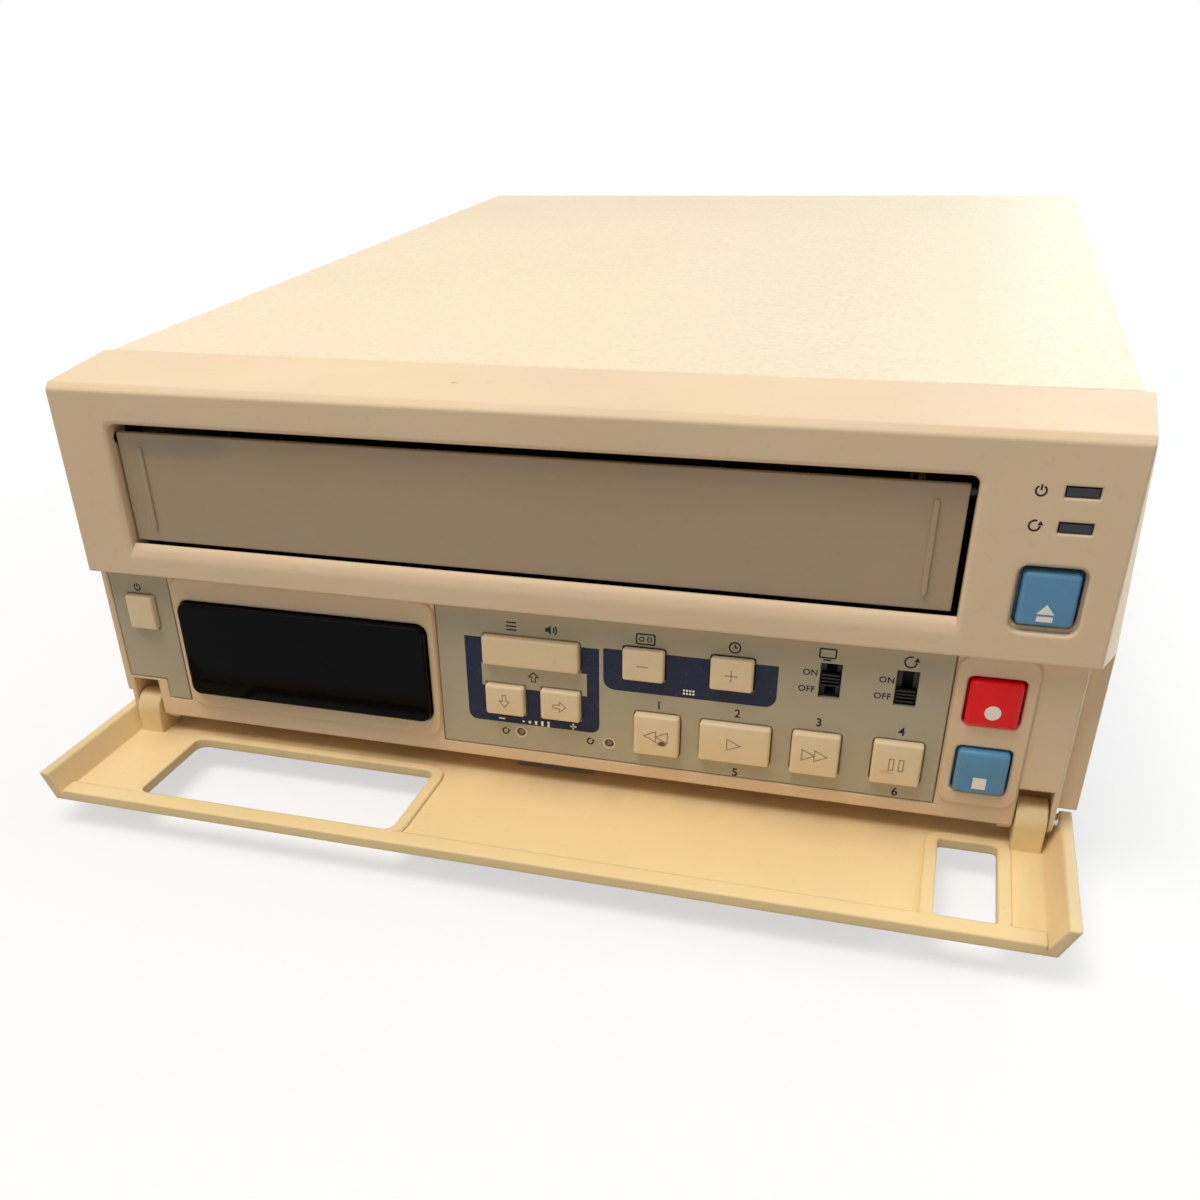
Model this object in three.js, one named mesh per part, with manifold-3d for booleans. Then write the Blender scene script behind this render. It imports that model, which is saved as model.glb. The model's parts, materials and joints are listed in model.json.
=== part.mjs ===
// Front loading video cassette recorder with a fold-down control door.
// Millimetres, +X to the right seen from the front, +Y from the front to the back, +Z up.
// While it is built, y = 0 is the upper front face and z = 0 is the floor under the feet.

import * as THREE from 'three';
import { ConvexGeometry } from 'three/addons/geometries/ConvexGeometry.js';
import { mergeVertices } from 'three/addons/utils/BufferGeometryUtils.js';
import Module from 'manifold-3d';

const wasm = await Module();
wasm.setup();

// Driving sizes of the whole machine
const bodyWidth = 270.4;
const bodyDepth = 370;
const bodyHeight = 104.5;
const footHeight = 12;
const coverSheet = 1;
const panSheet = 1.2;

// Clearances shared by all pieces
const seat = 0.3;
const capClearance = 0.35;
const runningGap = 0.5;
const cutOver = 1;

// Front moulding
const bezelWidth = 277.2;
const bezelDepth = 31.8;
const bezelWall = 2.5;
const crownHeight = 3;
const faceChamfer = 1.65;
const faceInset = 3.6;
const crownInset = 1.6;
const upperFaceHeight = 50.9;
const lowerSetback = 4.5;
const flankInset = 5.2;
const lowerFrontHeight = 98.3;
const flankSetback = 9;
const flankHeight = 94;
const flankStepDepth = 16.4;

// Cassette mouth and its flap
const cassetteOffset = -8.4;
const mouthWidth = 221;
const mouthTopDrop = 8.6;
const mouthBottomDrop = 46.5;
const ledgeDepth = 2.6;
const ledgeRise = 4.7;
const ledgeDip = 3;
const mouthDepth = 9;
const mouthWall = 2;
const mouthCorner = 2;
const mouthLip = 1.4;
const flapLeftGap = 0.7;
const flapRightGap = 1.6;
const flapTopGap = 2.7;
const flapBottomGap = 0.5;
const flapSetback = 3.2;
const flapThickness = 1.6;
const flapAxisDrop = 1.8;
const flapPinRadius = 1.1;
const flapPinLength = 1.8;
const flapRibInset = 6.6;
const flapRibWidth = 1.4;
const flapRibProud = 0.7;
const flapRibEndInset = 3.6;
const flapHemHeight = 2.4;
const flapHemDepth = 1.2;

// Lamps and the eject button, on the right of the upper face
const lampWidth = 6.5;
const lampHeight = 1.9;
const lampInset = 15.6;
const lampRecess = 0.3;
const upperLampDrop = 10.6;
const lowerLampDrop = 18.5;
const ejectInset = 18;
const ejectDrop = 35.4;
const ejectWidth = 12.4;
const ejectHeight = 12.7;
const ejectClearance = 0.7;
const wellWidth = 14.9;
const wellHeight = 16.1;
const wellDepth = 2;
const wellCorner = 2.4;
const wellLip = 0.8;
const wellWall = 2;
const ejectRecess = 0.2;

// Lower panel, from left to right
const panelTopDrop = 52;
const powerPlateInset = 1;
const powerPlateWidth = 19.4;
const powerPlateBottomDrop = 91.9;
const plateThickness = 1.5;
const plateLedge = 1.6;
const powerButtonWidth = 8.8;
const powerButtonHeight = 10.2;
const powerButtonInset = 10.6;
const powerButtonDrop = 63.9;
const displayFrameWidth = 81.2;
const displayFrameBottomDrop = 92.9;
const displayFrameProud = 0.9;
const displayFrameCorner = 4;
const displayFrameGap = 1;
const windowWidth = 76.4;
const windowHeight = 28.8;
const windowDrop = 73.6;
const windowCorner = 2.6;
const windowProud = 3.2;
const windowSeatDepth = 6.3;
const windowLedge = 1.6;
const controlPlateBottomDrop = 94.2;
const controlPlateGap = 0.7;
const keyFrameWidth = 18.8;
const keyFrameInset = 10.1;
const keyFrameBottomDrop = 93.2;
const keyFrameProud = 0.7;
const keyFrameCorner = 3.6;
const keyWidth = 12.3;
const keyHeight = 11.9;
const keyClearance = 0.6;
const recordDrop = 63.9;
const stopDrop = 82.9;
const keyProud = 2.3;

// Push buttons: caps, their flanges behind the plate, and their stems
const capProud = 2;
const capCorner = 0.8;
const capBevel = 0.5;
const flangeLip = 0.7;
const flangeThickness = 0.9;
const stemSize = 4;
const pressTravel = 1.2;
const smallCapWidth = 11;
const smallCapHeight = 8.8;
const menuCapWidth = 27;
const menuCapHeight = 8.3;
const transportCapWidth = 12.2;
const transportCapHeight = 12;
const playCapWidth = 18.5;
const playCapHeight = 11.2;

// Places on the control plate, as shares of its width and of its height from the top
const controlPlaceShares = {
  menu_button: [0.2, 0.284],
  down_button: [0.143, 0.632],
  right_button: [0.261, 0.626],
  minus_button: [0.431, 0.278],
  plus_button: [0.603, 0.277],
  rewind_button: [0.46, 0.757],
  play_button: [0.616, 0.75],
  forward_button: [0.772, 0.754],
  pause_button: [0.924, 0.747],
  onscreen_switch: [0.785, 0.263],
  repeat_switch: [0.922, 0.26],
  all_reset: [0.172, 0.872],
  menu_reset: [0.361, 0.874],
};

// Slide switches and reset plungers
const slotWidth = 5.3;
const slotHeight = 9.6;
const knobWidth = 4.5;
const knobHeight = 3.6;
const knobProud = 0.4;
const knobTongue = 1.6;
const switchTravel = 4.6;
const switchCaseDepth = 5;
const switchCaseWall = 1.2;
const resetHoleRadius = 1.25;
const resetPlungerRadius = 0.9;
const resetRecess = 0.5;
const resetTravel = 0.9;
const resetCollarRadius = 1.7;

// Control door, sized as it stands when closed
const doorThickness = 2.1;
const doorTopGap = 0.8;
const doorBottomDrop = 105;
const doorFlangeDepth = 8;
const doorFaceInset = 3.9;
const doorHollowInset = 6.5;
const doorFlangeInset = 2.4;
const doorStripHeight = 5.5;
const doorStripDepth = 3.1;
const doorOpenDegrees = 88.8;
const doorAxisDepth = 8.3;
const doorAxisDrop = 97.8;
const doorWindowMargin = 0.6;
const doorKeyMargin = 1.1;
const doorWindowTopDrop = 57.2;
const doorWindowBottomDrop = 90.2;
const doorKeyBottomDrop = 91.6;
const doorWindowCorner = 3;
const doorKeyCorner = 1.4;
const doorRimWidth = 3.3;
const doorRimHeight = 0.9;
const doorRimBevel = 0.4;
const doorNotchWidth = 23.3;
const doorNotchDepth = 3.5;
const knuckleInset = 5.5;
const knuckleWidth = 7.6;
const knuckleRadius = 5.9;
const knuckleGap = 0.4;
const hingeSlotTopDrop = 87;
const hingePinRadius = 1.2;
const hingePinHoleGap = 0.25;
const hingePinProud = 1.2;
const hingeEarRadius = 2.8;
const hingeEarLength = 3.4;
const pocketWall = 1.5;

// Cover, pan, rear panel and feet
const coverRise = 2;
const coverHem = 5;
const panWallHeight = 18;
const panelRecess = 2;
const panelSheet = 1.2;
const footRadius = 11;
const footTopRadius = 12.5;
const footInsetX = 24;
const footInsetFront = 34;
const footInsetBack = 30;
const footRecessRadius = 5;
const footRecessDepth = 2;
const ventSlotWidth = 2.4;
const ventSlotHeight = 26;
const ventPitch = 6;
const ventCount = 14;
const ventDrop = 24;

// Boards and supply
const boardThickness = 1.6;
const switchBoardSetback = 13.7;
const switchBoardInset = 4;
const switchBoardTopDrop = 55;
const switchBoardBottomDrop = 94;
const boardPostRadius = 2.4;
const boardPostInset = 8;
const displayModuleWidth = 70;
const displayModuleHeight = 24;
const displayModuleDepth = 6;
const mainBoardWidth = 196;
const mainBoardDepth = 190;
const mainBoardRise = 9;
const mainBoardFront = 62;
const supplyWidth = 92;
const supplyDepth = 54;
const supplyRise = 6;
const supplyInset = 8;
const transformerWidth = 42;
const transformerDepth = 36;
const transformerHeight = 34;
const coreOverhang = 6;
const capacitorRadius = 8;
const capacitorHeight = 26;
const capacitorPitch = 19;
const finCount = 5;
const finPitch = 5;
const finThickness = 1.6;
const finHeight = 30;
const finLength = 22;

// Sockets on the rear panel
const inletWidth = 27;
const inletHeight = 20;
const inletDepth = 22;
const inletMouthWidth = 19;
const inletMouthHeight = 11;
const inletMouthDepth = 14;
const inletLip = 2.5;
const inletLipThickness = 2;
const inletPinRadius = 1.2;
const inletPinSpacing = 8.6;
const inletPinLength = 8;
const inletInset = 38;
const inletDrop = 78;
const jackPlateWidth = 78;
const jackPlateHeight = 32;
const jackPlateDrop = 76;
const jackPlateInset = 62;
const jackPitch = 18;
const jackColumns = 4;
const jackRadius = 4.2;
const jackLength = 9;
const jackBoreRadius = 1.7;
const jackBoreDepth = 7;
const jackCollarRadius = 5.6;
const jackCollarLength = 1.6;
const jackBodyDepth = 12;
const terminalWidth = 62;
const terminalHeight = 13;
const terminalDepth = 15;
const terminalProud = 5;
const terminalWays = 8;
const terminalMouth = 3.6;
const terminalMouthDepth = 3.5;
const terminalDrop = 76;
const terminalInset = 146;

// Deck plate
const deckWidth = 214;
const deckFront = 52;
const deckDepth = 228;
const deckHeight = 46;
const deckSheet = 1.5;
const deckLegWidth = 14;
const deckLegInset = 20;
const deckFootLength = 9;
const spindleRadius = 1.5;
const spindleGap = 0.2;
const washerRadius = 3.4;
const washerHeight = 1;

// Cassette and the carriage that carries it
const cassetteWidth = 188;
const cassetteDepth = 104;
const cassetteHeight = 25;
const cassetteClearance = 1;
const carriageSheet = 1;
const carriageFront = 36;
const carriageTravel = 50;
const carriageFloorDrop = 40;
const carriageLipWidth = 14;
const reelHoleRadius = 17;
const railThickness = 2;
const railGap = 1;
const railSlotHeight = 4.6;
const carriagePinRadius = 2;
const carriagePinInset = 18;
const carriagePinRise = 9;
const railMargin = 8;
const railFootWidth = 9;
const railWindowMargin = 12;

// Reel tables and idler
const reelSpacing = 92;
const reelSetback = 98;
const reelTableRadius = 20;
const reelTableHeight = 5;
const reelHubRadius = 8;
const reelHubHeight = 12;
const reelFinCount = 3;
const reelFinWidth = 2.4;
const reelFinReach = 3.4;
const gearToothDepth = 1.4;
const reelTeeth = 28;
const idlerRadius = 11;
const idlerTeeth = 16;
const idlerSetback = 128;
const idlerHeight = 5;

// Drum
const drumRadius = 31;
const drumSetback = 193;
const drumLean = 6;
const lowerDrumRise = 6;
const lowerDrumHeight = 11;
const upperDrumHeight = 15;
const drumGap = 0.6;
const drumBaseRadius = 24;
const drumShaftRadius = 3;
const drumBoreDepth = 9;
const drumCapRadius = 17;
const drumCapHeight = 3;

// Tape guides
const guideSpread = 34;
const guideSetback = 126;
const guideTravel = 58;
const guideLeanOut = 8;
const sledWidth = 13;
const sledLength = 12;
const sledHeight = 3;
const guidePostRadius = 2.6;
const guidePostHeight = 20;
const guideFlangeRadius = 3.6;
const guideFlangeHeight = 1.2;
const guideSlotWidth = 5;
const guideKeyWidth = 4.2;

// Capstan and pinch roller
const capstanSpread = 48;
const capstanSetback = 158;
const capstanRadius = 1.5;
const capstanRise = 25;
const capstanMotorRadius = 19;
const capstanMotorHeight = 7;
const flywheelRadius = 22;
const flywheelHeight = 6;
const pinchRadius = 6.5;
const pinchHeight = 16;
const pinchArmLength = 25;
const pinchArmWidth = 8;
const pinchArmThickness = 2.4;
const pinchSwingDegrees = 20;
const pinchPivotDegrees = 52;
const pinchPinRadius = 1.6;
const pinchHubRadius = 4.4;

// Heads
const headBaseWidth = 16;
const headBaseDepth = 12;
const headBaseHeight = 4;
const headRadius = 5;
const headHeight = 18;
const controlHeadSpread = 58;
const controlHeadSetback = 186;
const eraseHeadSpread = 62;
const eraseHeadSetback = 146;

// Loading motor and cam gear
const motorRadius = 11;
const motorLength = 26;
const gearboxWidth = 22;
const gearboxDepth = 24;
const gearboxHeight = 20;
const motorEdgeInset = 23;
const motorSetback = 214;
const camRadius = 17;
const camTeeth = 24;
const camHeight = 6;
const camEdgeInset = 23;
const camSetback = 174;
const camTrackRadius = 11;
const camTrackWidth = 2.4;
const camTrackDepth = 2;

// Levels and half widths that follow from the sizes above
const coverTop = footHeight + bodyHeight;
const faceTop = coverTop - crownHeight;
const down = (drop) => faceTop - drop;
const bodyHalf = bodyWidth / 2;
const bezelHalf = bezelWidth / 2;
const lowerHalf = bezelHalf - flankInset;
const panelFront = lowerSetback;
const panelBack = lowerSetback + bezelWall;
const panTop = footHeight + panSheet;
const deckTop = deckHeight + deckSheet;
const motorSpread = deckWidth / 2 - motorEdgeInset;
const camSpread = deckWidth / 2 - camEdgeInset;
const mouthLeft = cassetteOffset - mouthWidth / 2;
const mouthRight = cassetteOffset + mouthWidth / 2;
const panelPlane = bodyDepth - panelRecess - panelSheet;

const roundSteps = 2;
const lipSteps = 3;
const ledgeSteps = 5;
const capSteps = 1;
const fineSides = 24;
const rodSides = 12;
const boreSides = 8;
const footSides = 18;
const roundEndShare = 0.99;

// Turns a closed three.js geometry into a solid that can be cut and joined
function solidOf(geometry) {
  const bare = geometry.index ? geometry.toNonIndexed() : geometry.clone();
  bare.deleteAttribute('normal');
  bare.deleteAttribute('uv');
  const merged = mergeVertices(bare);
  const vertProperties = new Float32Array(merged.attributes.position.array);
  const triVerts = new Uint32Array(merged.index.array);
  return new wasm.Manifold(new wasm.Mesh({ numProp: 3, vertProperties, triVerts }));
}

function geometryOf(solid) {
  const mesh = solid.getMesh();
  const geometry = new THREE.BufferGeometry();
  geometry.setAttribute('position', new THREE.BufferAttribute(mesh.vertProperties, mesh.numProp));
  geometry.setIndex(new THREE.BufferAttribute(mesh.triVerts, 1));
  geometry.computeVertexNormals();
  return geometry;
}

const join = (first, ...rest) => rest.reduce((sum, piece) => sum.add(piece), first);
const cut = (first, ...rest) => rest.reduce((left, piece) => left.subtract(piece), first);

// Basic forms
function box(x0, x1, y0, y1, z0, z1) {
  const geometry = new THREE.BoxGeometry(x1 - x0, y1 - y0, z1 - z0);
  geometry.translate((x0 + x1) / 2, (y0 + y1) / 2, (z0 + z1) / 2);
  return solidOf(geometry);
}

function outline(points) {
  return new THREE.Shape(points.map(([u, v]) => new THREE.Vector2(u, v)));
}

function roundedRect(u0, u1, v0, v1, radius) {
  const shape = new THREE.Shape();
  shape.absarc(u1 - radius, v0 + radius, radius, -Math.PI / 2, 0);
  shape.absarc(u1 - radius, v1 - radius, radius, 0, Math.PI / 2);
  shape.absarc(u0 + radius, v1 - radius, radius, Math.PI / 2, Math.PI);
  shape.absarc(u0 + radius, v0 + radius, radius, Math.PI, Math.PI * 3 / 2);
  return shape;
}

const axisBases = {
  x: [new THREE.Vector3(0, 1, 0), new THREE.Vector3(0, 0, 1), new THREE.Vector3(1, 0, 0)],
  y: [new THREE.Vector3(1, 0, 0), new THREE.Vector3(0, 0, 1), new THREE.Vector3(0, -1, 0)],
  z: [new THREE.Vector3(1, 0, 0), new THREE.Vector3(0, 1, 0), new THREE.Vector3(0, 0, 1)],
};

// Extrudes an outline along an axis: x takes (y, z) points, y takes (x, z), z takes (x, y)
function prism(axis, shape, from, to, bevel = 0, steps = roundSteps) {
  const settings = { depth: to - from - 2 * bevel, curveSegments: steps, bevelEnabled: bevel > 0 };
  if (bevel > 0) {
    const edge = { bevelSize: bevel, bevelThickness: bevel, bevelOffset: -bevel, bevelSegments: 1 };
    Object.assign(settings, edge);
  }
  const geometry = new THREE.ExtrudeGeometry(shape, settings);
  geometry.translate(0, 0, bevel);
  geometry.applyMatrix4(new THREE.Matrix4().makeBasis(...axisBases[axis]));
  const shift = { x: [from, 0, 0], y: [0, to, 0], z: [0, 0, from] }[axis];
  geometry.translate(...shift);
  return solidOf(geometry);
}

// The smallest convex solid round some points, each given with both signs of x
function twinHull(points) {
  return solidOf(new ConvexGeometry(points.flatMap(([x, y, z]) => [
    new THREE.Vector3(x, y, z), new THREE.Vector3(-x, y, z)])));
}

// The cut that rounds the front edge of an opening over, in slabs that narrow as they go in
function lipCut(left, right, bottom, top, corner, lip) {
  const ring = (depth, margin) => roundedRect(left - margin, right + margin, bottom - margin, top + margin,
    corner + margin).getPoints(roundSteps).map(({ x, y }) => new THREE.Vector3(x, depth, y));
  const slabs = Array.from({ length: lipSteps }, (_, place) => {
    const [outer, inner] = [place, place + 1].map((step) => step / lipSteps * Math.PI / 2)
      .map((turn) => ring(lip * (1 - Math.cos(turn)), lip * (1 - Math.sin(turn))));
    return solidOf(new ConvexGeometry([...outer, ...inner, ...(place ? [] : ring(-cutOver, lip))]));
  });
  return join(...slabs);
}

// A round bar along an axis; a and b are its centre in the other two axes, in x, y, z order
function rod(axis, radius, from, to, a, b, sides = rodSides, endRadius = radius) {
  const geometry = new THREE.CylinderGeometry(endRadius, radius, to - from, sides);
  geometry.translate(0, (from + to) / 2, 0);
  if (axis === 'x') {
    geometry.rotateZ(-Math.PI / 2);
    geometry.translate(0, a, b);
  } else if (axis === 'y') {
    geometry.translate(a, 0, b);
  } else {
    geometry.rotateX(Math.PI / 2);
    geometry.translate(a, b, 0);
  }
  return solidOf(geometry);
}

// A toothed disc about +Z
function gearDisc(radius, teeth, from, to) {
  const points = [];
  const stepShares = [[0, -1], [0.3, 0], [0.5, 0], [0.8, -1]];
  for (let tooth = 0; tooth < teeth; tooth += 1) {
    for (const [turnShare, depthShare] of stepShares) {
      const angle = (tooth + turnShare) / teeth * Math.PI * 2;
      const reach = radius + depthShare * gearToothDepth;
      points.push([reach * Math.cos(angle), reach * Math.sin(angle)]);
    }
  }
  return prism('z', outline(points), from, to);
}

const machine = new THREE.Group();

const finishes = {
  moulding: { color: 0xcdbb9d, roughness: 0.55, metalness: 0 },
  flap: { color: 0x8d7f6e, roughness: 0.5, metalness: 0 },
  plate: { color: 0xa9a48f, roughness: 0.5, metalness: 0 },
  cap: { color: 0xd3c3a6, roughness: 0.45, metalness: 0 },
  blueCap: { color: 0x4f7d9c, roughness: 0.4, metalness: 0 },
  redCap: { color: 0xc8161d, roughness: 0.4, metalness: 0 },
  smoked: { color: 0x0b0c10, roughness: 0.08, metalness: 0 },
  blackPlastic: { color: 0x1a1a1c, roughness: 0.5, metalness: 0 },
  paint: { color: 0xe4dabb, roughness: 0.6, metalness: 0.1 },
  zinc: { color: 0xb3b5b4, roughness: 0.4, metalness: 0.9 },
  aluminium: { color: 0xc9cbcc, roughness: 0.25, metalness: 1 },
  steel: { color: 0xb9bbbd, roughness: 0.25, metalness: 1 },
  board: { color: 0x2f6b45, roughness: 0.6, metalness: 0 },
  rubber: { color: 0x202020, roughness: 0.9, metalness: 0 },
  whitePlastic: { color: 0xe6e2d6, roughness: 0.5, metalness: 0 },
  core: { color: 0x6b5a3a, roughness: 0.6, metalness: 0.4 },
};

function add(name, solid, finish, parent = machine) {
  const mesh = new THREE.Mesh(geometryOf(solid), new THREE.MeshStandardMaterial(finishes[finish]));
  mesh.name = name;
  parent.add(mesh);
  return mesh;
}

// Lower panel layout, from the left edge to the right edge
const powerPlateLeft = -lowerHalf + powerPlateInset;
const powerPlateRight = powerPlateLeft + powerPlateWidth;
const displayFrameLeft = powerPlateRight + displayFrameGap;
const displayFrameRight = displayFrameLeft + displayFrameWidth;
const windowCentre = (displayFrameLeft + displayFrameRight) / 2;
const keyFrameRight = lowerHalf - keyFrameInset;
const keyFrameLeft = keyFrameRight - keyFrameWidth;
const keyCentre = (keyFrameLeft + keyFrameRight) / 2;
const controlLeft = displayFrameRight + controlPlateGap;
const controlRight = keyFrameLeft - controlPlateGap;
const controlWidth = controlRight - controlLeft;
const controlHeight = controlPlateBottomDrop - panelTopDrop;
const powerCentre = -lowerHalf + powerButtonInset;
const ejectCentre = bezelHalf - ejectInset;
const lampCentre = bezelHalf - lampInset;
const controlX = (name) => controlLeft + controlPlaceShares[name][0] * controlWidth;
const controlDrop = (name) => panelTopDrop + controlPlaceShares[name][1] * controlHeight;

// Door hinge and its slots in the front moulding
const doorAxisHeight = down(doorAxisDrop);
const slotOuter = lowerHalf - (knuckleInset - knuckleWidth / 2) + knuckleGap;
const slotInner = slotOuter - knuckleWidth - 2 * knuckleGap;
const sides = [-1, 1];
const between = (side, a, b) => (side > 0 ? [a, b] : [-b, -a]);

// An upright rectangle with round corners, given by its centre, drop and size
function faceRect(x, drop, width, height, radius, margin = 0) {
  const halfWidth = width / 2 + margin;
  const halfHeight = height / 2 + margin;
  const z = down(drop);
  return roundedRect(x - halfWidth, x + halfWidth, z - halfHeight, z + halfHeight, radius + margin);
}

// The front moulding is one shell with a step between the upper face and the lower panel.
// Its sides spread towards the back, most of all at the foot of the upper face.
function frontShell() {
  const faceHalf = bezelHalf - faceInset;
  const upper = twinHull([
    [faceHalf, 0, down(upperFaceHeight)], [faceHalf, 0, faceTop],
    [faceHalf, faceChamfer, faceTop + faceChamfer],
    [bezelHalf, flankSetback, down(upperFaceHeight)], [bezelHalf, bezelDepth, down(upperFaceHeight)],
    [bezelHalf - crownInset, bezelDepth, coverTop],
  ]);
  const lower = box(-lowerHalf, lowerHalf, lowerSetback, bezelDepth, down(lowerFrontHeight),
    down(upperFaceHeight) + bezelWall);
  const flanks = box(-bezelHalf, bezelHalf, flankSetback, bezelDepth, down(lowerFrontHeight),
    down(upperFaceHeight));
  const outer = join(upper, lower, flanks);
  const ceiling = coverTop - bezelWall;
  const shelf = down(upperFaceHeight) + bezelWall;
  const hollowHalf = bezelHalf - crownInset - bezelWall;
  const faceHollowHalf = faceHalf - bezelWall;
  const hollowTop = faceTop + faceChamfer - bezelWall;
  const upperHollow = twinHull([
    [faceHollowHalf, bezelWall, shelf], [faceHollowHalf, bezelWall, hollowTop],
    [hollowHalf, bezelDepth + cutOver, shelf], [hollowHalf, bezelDepth + cutOver, ceiling],
  ]);
  const lowerHollow = box(-lowerHalf + bezelWall, lowerHalf - bezelWall, panelBack, bezelDepth + cutOver,
    down(lowerFrontHeight) + bezelWall, shelf + cutOver);
  const flankHollow = box(-bezelHalf + bezelWall, bezelHalf - bezelWall, flankSetback + bezelWall,
    bezelDepth + cutOver, down(flankHeight) + bezelWall, shelf + cutOver);
  const flankCuts = sides.map((side) => {
    const [x0, x1] = between(side, lowerHalf, bezelHalf + cutOver);
    return box(x0, x1, -cutOver, flankStepDepth, down(lowerFrontHeight) - cutOver, down(flankHeight));
  });
  return cut(outer, upperHollow, lowerHollow, flankHollow, ...flankCuts);
}

const ledgeTop = down(mouthBottomDrop) + ledgeRise;

function mouthCollar() {
  return box(mouthLeft - mouthWall, mouthRight + mouthWall, bezelWall / 2, mouthDepth,
    down(mouthBottomDrop) - mouthWall, down(mouthTopDrop) + mouthWall);
}

// The ledge under the flap is a quarter of an oval, and a lip rounds the other three sides
function mouthCut() {
  const bottom = down(mouthBottomDrop);
  const top = down(mouthTopDrop);
  const ledge = Array.from({ length: ledgeSteps + 1 }, (_, place) => {
    const turn = place / ledgeSteps * Math.PI / 2;
    return [ledgeDepth * (1 - Math.cos(turn)), bottom + ledgeRise * Math.sin(turn)];
  });
  const profile = outline([
    [-cutOver, bottom], ...ledge, [ledgeDepth, ledgeTop - ledgeDip],
    [mouthDepth + cutOver, ledgeTop - ledgeDip], [mouthDepth + cutOver, top + mouthLip],
    [-cutOver, top + mouthLip],
  ]);
  const opening = prism('y', roundedRect(mouthLeft, mouthRight, bottom, top, mouthCorner), -cutOver,
    mouthDepth + cutOver);
  const lip = lipCut(mouthLeft, mouthRight, bottom, top, mouthCorner, mouthLip);
  return prism('x', profile, mouthLeft - mouthLip, mouthRight + mouthLip).intersect(join(opening, lip));
}

const flapTop = down(mouthTopDrop + flapTopGap);
const flapBottom = ledgeTop + flapBottomGap;
const flapAxisHeight = flapTop - flapAxisDrop;
const flapAxisDepth = flapSetback + flapPinRadius + seat;

function ejectWell() {
  const block = prism('y', faceRect(ejectCentre, ejectDrop, wellWidth, wellHeight, wellCorner, wellWall),
    bezelWall / 2, wellDepth + bezelWall);
  const well = prism('y', faceRect(ejectCentre, ejectDrop, wellWidth, wellHeight, wellCorner), -cutOver,
    wellDepth);
  const lip = lipCut(ejectCentre - wellWidth / 2, ejectCentre + wellWidth / 2,
    down(ejectDrop) - wellHeight / 2, down(ejectDrop) + wellHeight / 2, wellCorner, wellLip);
  const hole = prism('y', faceRect(ejectCentre, ejectDrop, ejectWidth, ejectHeight, capCorner,
    ejectClearance), -cutOver, wellDepth + bezelWall + cutOver);
  return { block, cuts: [well, lip, hole] };
}

function displayFrame() {
  const z0 = down(displayFrameBottomDrop);
  const z1 = down(panelTopDrop);
  const frame = prism('y', roundedRect(displayFrameLeft, displayFrameRight, z0, z1, displayFrameCorner),
    lowerSetback - displayFrameProud, panelBack);
  const seatHole = prism('y', faceRect(windowCentre, windowDrop, windowWidth, windowHeight, windowCorner,
    seat), -cutOver, windowSeatDepth);
  const sight = prism('y', faceRect(windowCentre, windowDrop, windowWidth, windowHeight, windowCorner,
    -windowLedge), -cutOver, panelBack + cutOver);
  return { frame, cuts: [seatHole, sight] };
}

function keyFrame() {
  const z0 = down(keyFrameBottomDrop);
  const frame = prism('y', roundedRect(keyFrameLeft, keyFrameRight, z0, down(panelTopDrop), keyFrameCorner),
    lowerSetback - keyFrameProud, panelBack);
  const cuts = [recordDrop, stopDrop].map((drop) => prism('y',
    faceRect(keyCentre, drop, keyWidth, keyHeight, capCorner, keyClearance), -cutOver, panelBack + cutOver));
  return { frame, cuts };
}

// Shallow seats for the two grey plates, with a window behind each for the button flanges
function plateSeats() {
  const seatBack = lowerSetback + plateThickness + seat;
  const wide = box(controlLeft - seat, controlRight + seat, -cutOver, seatBack,
    down(controlPlateBottomDrop) - seat, down(panelTopDrop) + seat);
  const wideWindow = box(controlLeft + plateLedge, controlRight - plateLedge, -cutOver, panelBack + cutOver,
    down(controlPlateBottomDrop - plateLedge), down(panelTopDrop + plateLedge));
  const narrow = prism('y', powerPlateOutline(seat), -cutOver, seatBack);
  const narrowWindow = box(powerPlateLeft + plateLedge, powerPlateRight - plateLedge, -cutOver,
    panelBack + cutOver, down(hingeSlotTopDrop - plateLedge), down(panelTopDrop + plateLedge));
  return [wide, wideWindow, narrow, narrowWindow];
}

// The small plate steps round the left hinge slot
function powerPlateOutline(margin) {
  const stepX = -slotInner + hingeEarLength + seat;
  const stepZ = down(hingeSlotTopDrop - bezelWall / 2);
  const left = powerPlateLeft - margin;
  const right = powerPlateRight + margin;
  const top = down(panelTopDrop) + margin;
  const bottom = down(powerPlateBottomDrop) - margin;
  return outline([
    [left, stepZ - margin], [stepX - margin, stepZ - margin], [stepX - margin, bottom],
    [right, bottom], [right, top], [left, top],
  ]);
}

// Each hinge slot is a pocket that is open below; an ear on either side of it carries the hinge pin
const pocketBack = doorAxisDepth + knuckleRadius + runningGap;

function hingeSlots() {
  const ears = [];
  const cuts = [];
  for (const side of sides) {
    const [earA, earB] = between(side, slotInner - hingeEarLength, lowerHalf);
    ears.push(rod('x', hingeEarRadius, earA, earB, doorAxisDepth, doorAxisHeight));
    const [pocketA, pocketB] = between(side, slotInner - pocketWall, lowerHalf);
    ears.push(box(pocketA, pocketB, panelBack - bezelWall / 4, pocketBack + pocketWall,
      down(lowerFrontHeight), down(hingeSlotTopDrop) + pocketWall));
    const [slotA, slotB] = between(side, slotInner, slotOuter);
    cuts.push(box(slotA, slotB, -cutOver, pocketBack, down(doorBottomDrop), down(hingeSlotTopDrop)));
    cuts.push(rod('x', hingePinRadius + hingePinHoleGap, earA - cutOver, earB + cutOver,
      doorAxisDepth, doorAxisHeight));
  }
  return { ears, cuts };
}

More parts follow.
